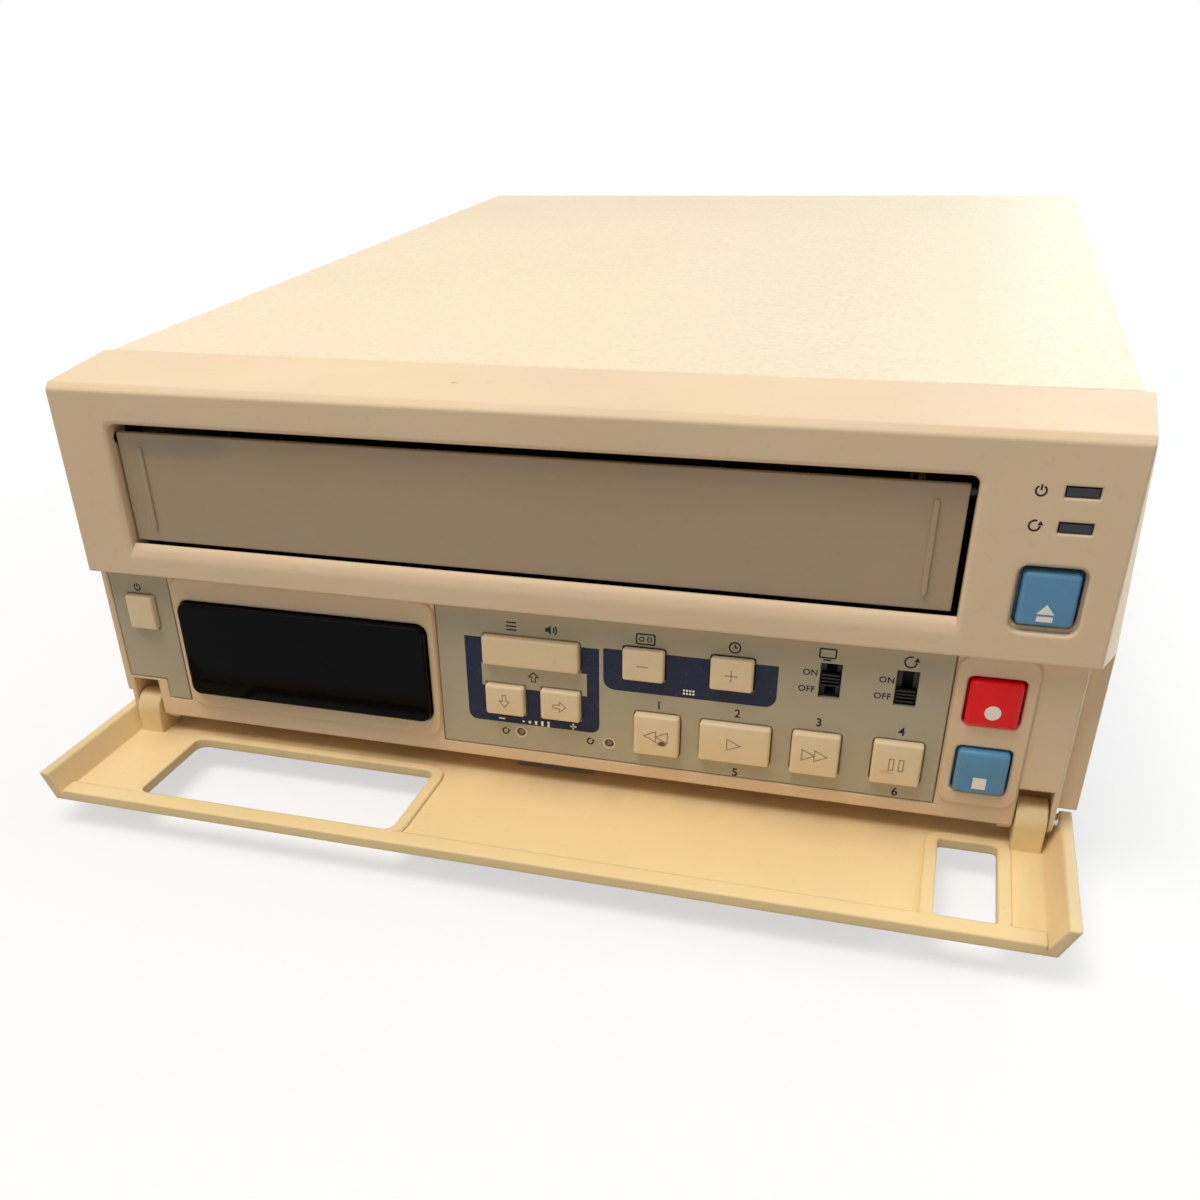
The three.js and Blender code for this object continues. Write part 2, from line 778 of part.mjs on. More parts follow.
// Posts for the switch board stand between the plates, clear of the button flanges
function boardPosts() {
  const levels = [down(switchBoardTopDrop) - boardPostRadius, down(switchBoardBottomDrop) + boardPostRadius];
  return [powerPlateRight, controlRight + seat].flatMap((x) => levels.map((level) => rod('y', boardPostRadius,
    panelBack - bezelWall / 4, switchBoardSetback - seat, x, level)));
}

function frontBezel() {
  const eject = ejectWell();
  const display = displayFrame();
  const keys = keyFrame();
  const hinge = hingeSlots();
  const lampSlots = [upperLampDrop, lowerLampDrop].map((drop) => box(
    lampCentre - lampWidth / 2 - seat, lampCentre + lampWidth / 2 + seat, -cutOver, bezelWall + cutOver,
    down(drop) - lampHeight / 2 - seat, down(drop) + lampHeight / 2 + seat));
  const pinHole = rod('x', flapPinRadius + hingePinHoleGap, mouthLeft - mouthWall + runningGap,
    mouthRight + mouthWall - runningGap, flapAxisDepth, flapAxisHeight);
  const body = cut(frontShell(), ...plateSeats());
  const joined = join(body, mouthCollar(), eject.block, display.frame, keys.frame, ...hinge.ears,
    ...boardPosts());
  return cut(joined, mouthCut(), pinHole, ...eject.cuts, ...display.cuts, ...keys.cuts, ...hinge.cuts,
    ...lampSlots);
}

add('front_bezel', frontBezel(), 'moulding');

// Cassette flap: a plate with a hem along its lower edge, two ribs and two pivot pins
function cassetteFlap() {
  const left = mouthLeft + flapLeftGap;
  const right = mouthRight - flapRightGap;
  const front = flapSetback;
  const back = flapSetback + flapThickness;
  const plate = box(left, right, front, back, flapBottom, flapTop);
  const hem = box(left + flapRibInset, right - flapRibInset, back - cutOver / 2, back + flapHemDepth,
    flapBottom, flapBottom + flapHemHeight);
  const ribs = [left + flapRibInset, right - flapRibInset].map((x) => prism('y',
    roundedRect(x - flapRibWidth / 2, x + flapRibWidth / 2, flapBottom + flapRibEndInset,
      flapTop - flapRibEndInset, flapRibWidth / 2 * roundEndShare),
    front - flapRibProud, front + flapThickness / 2));
  const pinReach = flapPinLength - runningGap;
  const pins = [
    rod('x', flapPinRadius, mouthLeft - pinReach, left + flapRibInset, flapAxisDepth, flapAxisHeight),
    rod('x', flapPinRadius, right - flapRibInset, mouthRight + pinReach, flapAxisDepth, flapAxisHeight),
  ];
  return join(plate, hem, ...ribs, ...pins);
}

add('cassette_flap', cassetteFlap(), 'flap');

// Lamp lenses
for (const [name, drop] of [['power_lamp', upperLampDrop], ['repeat_lamp', lowerLampDrop]]) {
  add(name, box(lampCentre - lampWidth / 2, lampCentre + lampWidth / 2, lampRecess, switchBoardSetback - seat,
    down(drop) - lampHeight / 2, down(drop) + lampHeight / 2), 'smoked');
}

// Grey plates, pierced for the buttons, switches and reset plungers
const controlCaps = {
  menu_button: [menuCapWidth, menuCapHeight],
  down_button: [smallCapWidth, smallCapHeight],
  right_button: [smallCapWidth, smallCapHeight],
  minus_button: [smallCapWidth, smallCapHeight],
  plus_button: [smallCapWidth, smallCapHeight],
  rewind_button: [transportCapWidth, transportCapHeight],
  play_button: [playCapWidth, playCapHeight],
  forward_button: [transportCapWidth, transportCapHeight],
  pause_button: [transportCapWidth, transportCapHeight],
};
const plateBack = lowerSetback + plateThickness;

function controlPlate() {
  const plate = box(controlLeft, controlRight, panelFront, plateBack, down(controlPlateBottomDrop),
    down(panelTopDrop));
  const capHoles = Object.entries(controlCaps).map(([name, [width, height]]) => prism('y',
    faceRect(controlX(name), controlDrop(name), width, height, capCorner, capClearance),
    panelFront - cutOver, plateBack + cutOver, 0, capSteps));
  const switchSlots = ['onscreen_switch', 'repeat_switch'].map((name) => box(
    controlX(name) - slotWidth / 2, controlX(name) + slotWidth / 2, panelFront - cutOver, plateBack + cutOver,
    down(controlDrop(name)) - slotHeight / 2, down(controlDrop(name)) + slotHeight / 2));
  const resetHoles = ['all_reset', 'menu_reset'].map((name) => rod('y', resetHoleRadius,
    panelFront - cutOver, plateBack + cutOver, controlX(name), down(controlDrop(name))));
  return cut(plate, ...capHoles, ...switchSlots, ...resetHoles);
}

function powerPlate() {
  const plate = prism('y', powerPlateOutline(0), panelFront, plateBack);
  return cut(plate, prism('y', faceRect(powerCentre, powerButtonDrop, powerButtonWidth, powerButtonHeight,
    capCorner, capClearance), panelFront - cutOver, plateBack + cutOver));
}

add('control_plate', controlPlate(), 'plate');
add('power_plate', powerPlate(), 'plate');

// Smoked window in front of the display
add('display_window', prism('y', faceRect(windowCentre, windowDrop, windowWidth, windowHeight, windowCorner),
  lowerSetback - windowProud, windowSeatDepth - seat, capBevel), 'smoked');

// A push button: a bevelled cap, a flange that keeps it behind its plate, and a stem to its switch
function pushButton(x, drop, width, height, front, back) {
  const z = down(drop);
  const flangeFront = back + seat;
  const flangeBack = flangeFront + flangeThickness;
  const cap = prism('y', faceRect(x, drop, width, height, capCorner), front, flangeBack - capBevel, capBevel,
    capSteps);
  const flange = box(x - width / 2 - flangeLip, x + width / 2 + flangeLip, flangeFront, flangeBack,
    z - height / 2 - flangeLip, z + height / 2 + flangeLip);
  const stem = box(x - stemSize / 2, x + stemSize / 2, flangeBack - cutOver / 2,
    switchBoardSetback - pressTravel - seat, z - stemSize / 2, z + stemSize / 2);
  return join(cap, flange, stem);
}

for (const [name, [width, height]] of Object.entries(controlCaps)) {
  const cap = pushButton(controlX(name), controlDrop(name), width, height, panelFront - capProud, plateBack);
  add(name, cap, 'cap');
}
add('power_button', pushButton(powerCentre, powerButtonDrop, powerButtonWidth, powerButtonHeight,
  panelFront - capProud, plateBack), 'cap');
add('record_button', pushButton(keyCentre, recordDrop, keyWidth, keyHeight, panelFront - keyProud, panelBack),
  'redCap');
add('stop_button', pushButton(keyCentre, stopDrop, keyWidth, keyHeight, panelFront - keyProud, panelBack),
  'blueCap');
add('eject_button', pushButton(ejectCentre, ejectDrop, ejectWidth, ejectHeight, ejectRecess,
  wellDepth + bezelWall), 'blueCap');

// Slide switch knobs: a grip in the slot, on a tongue inside the switch case behind the plate
const knobDropShift = { onscreen_switch: 0, repeat_switch: switchTravel / 2 };
for (const name of ['onscreen_switch', 'repeat_switch']) {
  const x = controlX(name);
  const z = down(controlDrop(name) + knobDropShift[name]);
  const grip = box(x - knobWidth / 2, x + knobWidth / 2, panelFront + knobProud, plateBack + seat,
    z - knobHeight / 2, z + knobHeight / 2);
  const tongue = box(x - knobTongue / 2, x + knobTongue / 2, plateBack, plateBack + switchCaseDepth / 2,
    z - knobHeight / 2, z + knobHeight / 2);
  add(name, join(grip, tongue), 'blackPlastic');
}

// Reset plungers, reached with a pin through small holes
for (const name of ['all_reset', 'menu_reset']) {
  const plunger = rod('y', resetPlungerRadius, panelFront + resetRecess,
    switchBoardSetback - resetTravel - seat, controlX(name), down(controlDrop(name)));
  const collar = rod('y', resetCollarRadius, plateBack + seat, plateBack + seat + flangeThickness,
    controlX(name), down(controlDrop(name)));
  add(name, join(plunger, collar), 'blackPlastic');
}

// Front switch board: the cases of the two slide switches, and a tab behind the eject button and lamps
function switchBoard() {
  const half = lowerHalf - bezelWall - switchBoardInset;
  const board = box(-half, half, switchBoardSetback, switchBoardSetback + boardThickness,
    down(switchBoardBottomDrop), down(switchBoardTopDrop));
  const tab = box(ejectCentre - ejectWidth / 2, half, switchBoardSetback, switchBoardSetback + boardThickness,
    down(switchBoardTopDrop) - cutOver, down(upperLampDrop) + lampHeight);
  const cases = ['onscreen_switch', 'repeat_switch'].map((name) => {
    const x = controlX(name);
    const z = down(controlDrop(name));
    const caseFront = plateBack + seat + runningGap;
    const halfWidth = slotWidth / 2 + switchCaseWall;
    const halfHeight = slotHeight / 2 + switchCaseWall;
    const shell = box(x - halfWidth, x + halfWidth, caseFront, switchBoardSetback + cutOver / 2,
      z - halfHeight, z + halfHeight);
    const track = box(x - knobTongue / 2 - runningGap, x + knobTongue / 2 + runningGap, caseFront - cutOver,
      plateBack + switchCaseDepth, z - slotHeight / 2, z + slotHeight / 2);
    return shell.subtract(track);
  });
  const notches = sides.map((side) => {
    const [x0, x1] = between(side, slotInner - pocketWall - runningGap, half + cutOver);
    return box(x0, x1, switchBoardSetback - cutOver, switchBoardSetback + boardThickness + cutOver,
      down(switchBoardBottomDrop) - cutOver, down(hingeSlotTopDrop) + pocketWall + runningGap);
  });
  return cut(join(board, tab, ...cases), ...notches);
}

add('switch_board', switchBoard(), 'board');

// Display module: a glass envelope on its holder, in front of the switch board
function displayModule() {
  const z = down(windowDrop);
  const back = switchBoardSetback - seat;
  const glass = box(windowCentre - displayModuleWidth / 2, windowCentre + displayModuleWidth / 2,
    back - displayModuleDepth, back - displayModuleDepth / 2, z - displayModuleHeight / 2,
    z + displayModuleHeight / 2);
  const margin = displayModuleDepth / 2;
  const holder = box(windowCentre - displayModuleWidth / 2 + margin, windowCentre + displayModuleWidth / 2
    - margin, back - displayModuleDepth / 2 - cutOver / 2, back, z - displayModuleHeight / 2 + margin,
    z + displayModuleHeight / 2 - margin);
  return join(glass, holder);
}

add('display_module', displayModule(), 'blackPlastic');

// Control door, drawn closed and then turned down about its hinge
const doorTop = down(upperFaceHeight + doorTopGap);
const doorBottom = down(doorBottomDrop);

// A shallow slab whose sides spread towards the back, given by its insets from the widest point
function doorSlab(frontInset, backInset, front, back, bottom, top) {
  return twinHull([
    [bezelHalf - frontInset, front, bottom], [bezelHalf - frontInset, front, top],
    [bezelHalf - backInset, back, bottom], [bezelHalf - backInset, back, top],
  ]);
}

// The window round the display and the one round the record and stop buttons
const doorWindows = [{
  left: windowCentre - windowWidth / 2 - doorWindowMargin,
  right: windowCentre + windowWidth / 2 + doorWindowMargin,
  bottom: down(doorWindowBottomDrop),
  corner: doorWindowCorner,
}, {
  left: keyCentre - keyWidth / 2 - doorKeyMargin,
  right: keyCentre + keyWidth / 2 + doorKeyMargin,
  bottom: down(doorKeyBottomDrop),
  corner: doorKeyCorner,
}];

function frontDoor() {
  const tray = doorSlab(doorFaceInset, 0, 0, doorFlangeDepth, doorBottom, doorTop);
  const hollow = doorSlab(doorHollowInset, doorFlangeInset, doorThickness, doorFlangeDepth + cutOver,
    doorBottom - cutOver, doorTop + cutOver);
  const stripHalf = bezelHalf - doorHollowInset;
  const strip = box(-stripHalf, stripHalf, doorThickness / 2, doorStripDepth,
    doorTop - doorStripHeight, doorTop);
  const rims = doorWindows.map(({ left, right, bottom, corner }) => prism('y',
    roundedRect(left - doorRimWidth, right + doorRimWidth, bottom - doorRimWidth,
      doorTop - doorStripHeight / 2, corner + doorRimWidth),
    doorThickness / 2, doorThickness + doorRimHeight, doorRimBevel));
  const holes = doorWindows.map(({ left, right, bottom, corner }) => prism('y',
    roundedRect(left, right, bottom, down(doorWindowTopDrop), corner), -cutOver, doorFlangeDepth));
  const notch = box(-doorNotchWidth / 2, doorNotchWidth / 2, -cutOver, doorFlangeDepth,
    doorBottom - cutOver, doorBottom + doorNotchDepth);
  const knuckles = sides.flatMap((side) => {
    const [x0, x1] = between(side, slotInner + knuckleGap, slotOuter - knuckleGap);
    return [
      rod('x', knuckleRadius, x0, x1, doorAxisDepth, doorAxisHeight),
      box(x0, x1, doorThickness / 2, doorAxisDepth, doorAxisHeight - knuckleRadius,
        doorAxisHeight + knuckleRadius),
    ];
  });
  const bore = rod('x', hingePinRadius + hingePinHoleGap, -lowerHalf, lowerHalf,
    doorAxisDepth, doorAxisHeight);
  const built = join(cut(tray, hollow), strip, ...rims, ...knuckles);
  return cut(built, ...holes, notch, bore).translate([0, -doorAxisDepth, -doorAxisHeight]);
}

const doorHinge = new THREE.Group();
doorHinge.position.set(0, doorAxisDepth, doorAxisHeight);
doorHinge.rotation.x = THREE.MathUtils.degToRad(doorOpenDegrees);
machine.add(doorHinge);
add('front_door', frontDoor(), 'moulding', doorHinge);

for (const side of sides) {
  const [x0, x1] = between(side, slotInner - hingeEarLength, lowerHalf + hingePinProud);
  add(side < 0 ? 'hinge_pin_left' : 'hinge_pin_right',
    rod('x', hingePinRadius, x0, x1, doorAxisDepth, doorAxisHeight), 'steel');
}

// Top cover: a sheet folded over the top and both sides, with a hem round its rear edge
const coverFront = bezelDepth + seat;
const coverBottom = footHeight + coverRise;

function topCover() {
  const outer = box(-bodyHalf, bodyHalf, coverFront, bodyDepth, coverBottom, coverTop);
  const inner = box(-bodyHalf + coverSheet, bodyHalf - coverSheet, coverFront - cutOver,
    bodyDepth - coverSheet, coverBottom - cutOver, coverTop - coverSheet);
  const rearMouth = box(-bodyHalf + coverHem, bodyHalf - coverHem, bodyDepth - panelRecess * 2,
    bodyDepth + cutOver, coverBottom - cutOver, coverTop - coverHem);
  return cut(outer, inner, rearMouth);
}

add('top_cover', topCover(), 'paint');

// Base pan with folded walls and bosses for the main board
const panHalf = bodyHalf - coverSheet - seat;
const panBack = panelPlane - seat;
const mainBoardBottom = panTop + mainBoardRise;
const mainBoardLeft = cassetteOffset - mainBoardWidth / 2;
const mainBoardRight = cassetteOffset + mainBoardWidth / 2;
const mainBoardBack = mainBoardFront + mainBoardDepth;

function basePan() {
  const outer = box(-panHalf, panHalf, coverFront, panBack, footHeight, footHeight + panWallHeight);
  const inner = box(-panHalf + panSheet, panHalf - panSheet, coverFront + panSheet, panBack + cutOver,
    panTop, footHeight + panWallHeight + cutOver);
  const bossSpots = [mainBoardLeft + boardPostInset, mainBoardRight - boardPostInset].flatMap((x) => [
    [x, mainBoardFront + boardPostInset], [x, mainBoardBack - boardPostInset]]);
  const bosses = bossSpots.map(([x, y]) => rod('z', boardPostRadius, panTop - panSheet / 2,
    mainBoardBottom - seat, x, y));
  const supplyBosses = [supplyLeft + boardPostInset, supplyRight - boardPostInset].flatMap((x) => [
    supplyFront + boardPostInset, supplyBack - boardPostInset].map((y) => rod('z', boardPostRadius,
    panTop - panSheet / 2, supplyBottom - seat, x, y)));
  return join(cut(outer, inner), ...bosses, ...supplyBosses);
}

// Power supply board with its transformer, capacitors and finned heat sink
const supplyRight = panHalf - panSheet - supplyInset;
const supplyLeft = supplyRight - supplyWidth;
const supplyBack = panBack - supplyInset - inletDepth;
const supplyFront = supplyBack - supplyDepth;
const supplyBottom = panTop + supplyRise;
const supplyTop = supplyBottom + boardThickness;

function powerSupply() {
  const board = box(supplyLeft, supplyRight, supplyFront, supplyBack, supplyBottom, supplyTop);
  const coilLeft = supplyRight - transformerWidth - coreOverhang;
  const coilFront = supplyBack - transformerDepth - coreOverhang;
  const core = box(coilLeft, coilLeft + transformerWidth, coilFront, coilFront + transformerDepth,
    supplyTop - boardThickness / 2, supplyTop + transformerHeight);
  const winding = box(coilLeft + coreOverhang, coilLeft + transformerWidth - coreOverhang,
    coilFront - coreOverhang, coilFront + transformerDepth + coreOverhang / 2,
    supplyTop + coreOverhang / 2, supplyTop + transformerHeight - coreOverhang / 2);
  const cans = [0, 1].map((place) => rod('z', capacitorRadius, supplyTop - boardThickness / 2,
    supplyTop + capacitorHeight, supplyLeft + 2 * capacitorRadius,
    supplyFront + (1 + place) * capacitorPitch));
  const sinkLeft = supplyLeft + 4 * capacitorRadius;
  const fins = Array.from({ length: finCount }, (_, place) => box(sinkLeft, sinkLeft + finLength,
    supplyFront + finPitch * (place + 1), supplyFront + finPitch * (place + 1) + finThickness,
    supplyTop - boardThickness / 2, supplyTop + finHeight));
  const spine = box(sinkLeft, sinkLeft + finThickness, supplyFront + finPitch,
    supplyFront + finPitch * finCount + finThickness, supplyTop - boardThickness / 2, supplyTop + finHeight);
  return join(board, core, winding, ...cans, ...fins, spine);
}

add('base_pan', basePan(), 'zinc');
add('power_supply', powerSupply(), 'core');

// Main board under the deck, with its chips and connectors as low blocks
const chipShares = [
  [0.1, 0.12, 0.2, 0.12], [0.4, 0.1, 0.16, 0.16], [0.68, 0.14, 0.2, 0.1], [0.12, 0.4, 0.14, 0.2],
  [0.75, 0.42, 0.14, 0.14], [0.3, 0.84, 0.24, 0.07],
];
const chipHeight = 3;

function mainBoard() {
  const top = mainBoardBottom + boardThickness;
  const board = box(mainBoardLeft, mainBoardRight, mainBoardFront, mainBoardBack, mainBoardBottom, top);
  const chips = chipShares.map(([across, along, widthShare, depthShare]) => {
    const x = mainBoardLeft + across * mainBoardWidth;
    const y = mainBoardFront + along * mainBoardDepth;
    return box(x, x + widthShare * mainBoardWidth, y, y + depthShare * mainBoardDepth,
      top - boardThickness / 2, top + chipHeight);
  });
  return join(board, ...chips);
}

add('main_board', mainBoard(), 'board');

// Feet, slightly tapered, each with a hollow under it
const footSpots = {
  foot_front_left: [-1, bezelDepth + footInsetFront],
  foot_front_right: [1, bezelDepth + footInsetFront],
  foot_rear_left: [-1, bodyDepth - footInsetBack],
  foot_rear_right: [1, bodyDepth - footInsetBack],
};
for (const [name, [side, y]] of Object.entries(footSpots)) {
  const x = side * (bodyHalf - footInsetX);
  const pad = rod('z', footRadius, 0, footHeight, x, y, footSides, footTopRadius);
  add(name, cut(pad, rod('z', footRecessRadius, -cutOver, footRecessDepth, x, y)), 'rubber');
}

// Rear panel with its vents and socket openings
const inletX = bodyHalf - inletInset;
const jackX = -bodyHalf + jackPlateInset;
const terminalX = -bodyHalf + terminalInset;
const panelBackFace = panelPlane + panelSheet;

function rearPanel() {
  const half = bodyHalf - coverSheet - seat;
  const panel = box(-half, half, panelPlane, panelBackFace, footHeight + panSheet + seat,
    coverTop - coverSheet - seat);
  const opening = (x, drop, width, height) => box(x - width / 2 - seat, x + width / 2 + seat,
    panelPlane - cutOver, panelBackFace + cutOver, down(drop) - height / 2 - seat,
    down(drop) + height / 2 + seat);
  const vents = Array.from({ length: ventCount }, (_, place) => {
    const x = (place - (ventCount - 1) / 2) * ventPitch;
    return box(x - ventSlotWidth / 2, x + ventSlotWidth / 2, panelPlane - cutOver, panelBackFace + cutOver,
      down(ventDrop) - ventSlotHeight / 2, down(ventDrop) + ventSlotHeight / 2);
  });
  return cut(panel, opening(inletX, inletDrop, inletWidth, inletHeight),
    opening(jackX, jackPlateDrop, jackPlateWidth - 2 * inletLip, jackPlateHeight - 2 * inletLip),
    opening(terminalX, terminalDrop, terminalWidth, terminalHeight), ...vents);
}

add('rear_panel', rearPanel(), 'zinc');

// Mains inlet: a housing with a lip on the panel and two pins in its mouth
function mainsInlet() {
  const z = down(inletDrop);
  const lipBack = panelBackFace + seat + inletLipThickness;
  const housing = box(inletX - inletWidth / 2, inletX + inletWidth / 2, lipBack - inletDepth, lipBack,
    z - inletHeight / 2, z + inletHeight / 2);
  const lip = box(inletX - inletWidth / 2 - inletLip, inletX + inletWidth / 2 + inletLip,
    panelBackFace + seat, lipBack, z - inletHeight / 2 - inletLip, z + inletHeight / 2 + inletLip);
  const mouth = prism('y', roundedRect(inletX - inletMouthWidth / 2, inletX + inletMouthWidth / 2,
    z - inletMouthHeight / 2, z + inletMouthHeight / 2, inletMouthHeight / 2 * roundEndShare),
  lipBack - inletMouthDepth, lipBack + cutOver);
  const pins = sides.map((side) => rod('y', inletPinRadius, lipBack - inletMouthDepth - cutOver,
    lipBack - inletMouthDepth + inletPinLength, inletX + side * inletPinSpacing / 2, z));
  return join(cut(join(housing, lip), mouth), ...pins);
}

add('mains_inlet', mainsInlet(), 'blackPlastic');

// Video and audio jacks on one plate: two rows of four
function jackBlock() {
  const z = down(jackPlateDrop);
  const face = panelBackFace + seat + inletLipThickness;
  const plate = box(jackX - jackPlateWidth / 2, jackX + jackPlateWidth / 2, panelBackFace + seat, face,
    z - jackPlateHeight / 2, z + jackPlateHeight / 2);
  const body = box(jackX - jackPlateWidth / 2 + inletLip, jackX + jackPlateWidth / 2 - inletLip,
    face - jackBodyDepth, face, z - jackPlateHeight / 2 + inletLip, z + jackPlateHeight / 2 - inletLip);
  const spots = Array.from({ length: jackColumns }, (_, column) => sides.map((side) => [
    jackX + (column - (jackColumns - 1) / 2) * jackPitch, z + side * jackPlateHeight / 4])).flat();
  const barrels = spots.flatMap(([x, level]) => [
    rod('y', jackRadius, face - cutOver, face + jackLength, x, level),
    rod('y', jackCollarRadius, face - cutOver, face + jackCollarLength, x, level, boreSides),
  ]);
  const bores = spots.map(([x, level]) => rod('y', jackBoreRadius, face + jackLength - jackBoreDepth,
    face + jackLength + cutOver, x, level, boreSides));
  return cut(join(plate, body, ...barrels), ...bores);
}

add('jack_block', jackBlock(), 'steel');

// Terminal block with a row of wire mouths
function terminalBlock() {
  const z = down(terminalDrop);
  const face = panelBackFace + terminalProud;
  const block = box(terminalX - terminalWidth / 2, terminalX + terminalWidth / 2, face - terminalDepth, face,
    z - terminalHeight / 2, z + terminalHeight / 2);
  const pitch = terminalWidth / terminalWays;
  const mouths = Array.from({ length: terminalWays }, (_, way) => {
    const x = terminalX + (way - (terminalWays - 1) / 2) * pitch;
    return box(x - terminalMouth / 2, x + terminalMouth / 2, face - terminalMouthDepth, face + cutOver,
      z - terminalMouth / 2, z + terminalMouth / 2);
  });
  return cut(block, ...mouths);
}

add('terminal_block', terminalBlock(), 'blackPlastic');

// Places on the deck, measured from its front edge and from the cassette's centre line
const deckX = (spread) => cassetteOffset + spread;
const deckY = (setback) => deckFront + setback;
const reelY = deckY(reelSetback - cassetteClearance);
const drumY = deckY(drumSetback);
const capstanX = deckX(capstanSpread);
const capstanY = deckY(capstanSetback);

// Pinch roller at the capstan, and swung back from it about the arm's pivot
const pinchContact = pinchRadius + capstanRadius + runningGap;
const pivotTurn = THREE.MathUtils.degToRad(pinchPivotDegrees);
const pinchPivotX = capstanX + pinchContact + pinchArmLength * Math.cos(pivotTurn);
const pinchPivotY = capstanY + pinchArmLength * Math.sin(pivotTurn);
const restTurn = pivotTurn + Math.PI + THREE.MathUtils.degToRad(pinchSwingDegrees);
const pinchX = pinchPivotX + pinchArmLength * Math.cos(restTurn);
const pinchY = pinchPivotY + pinchArmLength * Math.sin(restTurn);

// Cam gear beside the tape guides' slots
const camX = deckX(-camSpread);
const camY = deckY(camSetback);

function guidePath(side, halfWidth, from, to, z0, z1) {
  const shape = roundedRect(-halfWidth, halfWidth, from, to, halfWidth * roundEndShare);
  return prism('z', shape, z0, z1).rotate([0, 0, -side * guideLeanOut])
    .translate([deckX(side * guideSpread), deckY(guideSetback), 0]);
}

// Deck plate on four folded legs, with its spindles, guide slots and capstan hole
function deckPlate() {
  const left = deckX(-deckWidth / 2);
  const right = deckX(deckWidth / 2);
  const plate = box(left, right, deckFront, deckFront + deckDepth, deckHeight, deckTop);
  const legs = [[left, 1], [right, -1]].flatMap(([edge, inward]) => {
    const [x0, x1] = inward > 0 ? [edge, edge + deckSheet] : [edge - deckSheet, edge];
    const [f0, f1] = inward > 0 ? [edge - deckFootLength, edge + deckSheet] : [edge - deckSheet,
      edge + deckFootLength];
    return [deckFront + deckLegInset, deckFront + deckDepth - deckLegInset - deckLegWidth].flatMap((y) => [
      box(x0, x1, y, y + deckLegWidth, panTop + seat, deckTop),
      box(f0, f1, y, y + deckLegWidth, panTop + seat, panTop + seat + deckSheet),
    ]);
  });
  const spindles = [
    [deckX(-reelSpacing / 2), reelY, reelTableHeight + reelHubHeight],
    [deckX(reelSpacing / 2), reelY, reelTableHeight + reelHubHeight],
    [deckX(0), deckY(idlerSetback), idlerHeight + washerHeight],
    [camX, camY, camHeight + washerHeight],
    [pinchPivotX, pinchPivotY, pinchArmThickness + washerHeight],
  ].flatMap(([x, y, height]) => [
    rod('z', spindleRadius, deckHeight, deckTop + height, x, y),
    rod('z', washerRadius, deckHeight, deckTop + washerHeight, x, y),
  ]);
  const slots = sides.map((side) => guidePath(side, guideSlotWidth / 2, -sledLength / 2,
    guideTravel + sledLength / 2, deckHeight - cutOver, deckTop + cutOver));
  const capstanHole = rod('z', capstanRadius + runningGap, deckHeight - cutOver, deckTop + cutOver,
    capstanX, capstanY);
  return join(cut(plate, ...slots, capstanHole), ...legs, ...spindles);
}

add('deck_plate', deckPlate(), 'zinc');

// Reel tables: a geared disc with a splined hub over the deck's spindle
const reelBase = deckTop + washerHeight + seat;

function reelTable(x) {
  const table = gearDisc(reelTableRadius, reelTeeth, reelBase, reelBase + reelTableHeight);
  const hub = rod('z', reelHubRadius, reelBase, reelBase + reelTableHeight + reelHubHeight, 0, 0, fineSides,
    reelHubRadius - gearToothDepth);
  const fins = Array.from({ length: reelFinCount }, (_, place) => box(0, reelHubRadius + reelFinReach,
    -reelFinWidth / 2, reelFinWidth / 2, reelBase, reelBase + reelTableHeight + reelHubHeight / 2)
    .rotate([0, 0, place * 360 / reelFinCount]));
  const bore = rod('z', spindleRadius + spindleGap, reelBase - cutOver,
    reelBase + reelTableHeight + reelHubHeight + cutOver, 0, 0);
  return cut(join(table, hub, ...fins), bore).translate([x, reelY, 0]);
}

add('supply_reel', reelTable(deckX(-reelSpacing / 2)), 'whitePlastic');
add('takeup_reel', reelTable(deckX(reelSpacing / 2)), 'whitePlastic');

function spindleGear(radius, teeth, height, x, y) {
  const disc = gearDisc(radius, teeth, reelBase, reelBase + height);
  const bore = rod('z', spindleRadius + spindleGap, reelBase - cutOver, reelBase + height + cutOver, 0, 0);
  return cut(disc, bore).translate([x, y, 0]);
}

add('idler_gear', spindleGear(idlerRadius, idlerTeeth, idlerHeight, deckX(0), deckY(idlerSetback)),
  'whitePlastic');

function camGear() {
  const gear = spindleGear(camRadius, camTeeth, camHeight, 0, 0);
  const top = reelBase + camHeight;
  const ring = cut(
    rod('z', camTrackRadius + camTrackWidth / 2, top - camTrackDepth, top + cutOver, 0, 0, fineSides),
    rod('z', camTrackRadius - camTrackWidth / 2, top - camTrackDepth - cutOver, top + 2 * cutOver, 0, 0,
      fineSides),
  );
  return cut(gear, ring).translate([camX, camY, 0]);
}

add('cam_gear', camGear(), 'whitePlastic');

// Drum: a fixed lower half on its base and a turning upper half, leaning together
const drumTilt = [0, drumLean, 0];
const drumX = deckX(0);

function lowerDrum() {
  const base = rod('z', drumBaseRadius, deckTop + seat, deckTop + lowerDrumRise + lowerDrumHeight / 2, 0, 0,
    fineSides);
  const half = rod('z', drumRadius, 0, lowerDrumHeight, 0, 0, fineSides);
  const shaft = rod('z', drumShaftRadius, lowerDrumHeight - cutOver, lowerDrumHeight + drumGap + drumBoreDepth
    - drumGap, 0, 0);
  const leaning = join(half, shaft).rotate(drumTilt).translate([0, 0, deckTop + lowerDrumRise]);
  return join(base, leaning).translate([drumX, drumY, 0]);
}

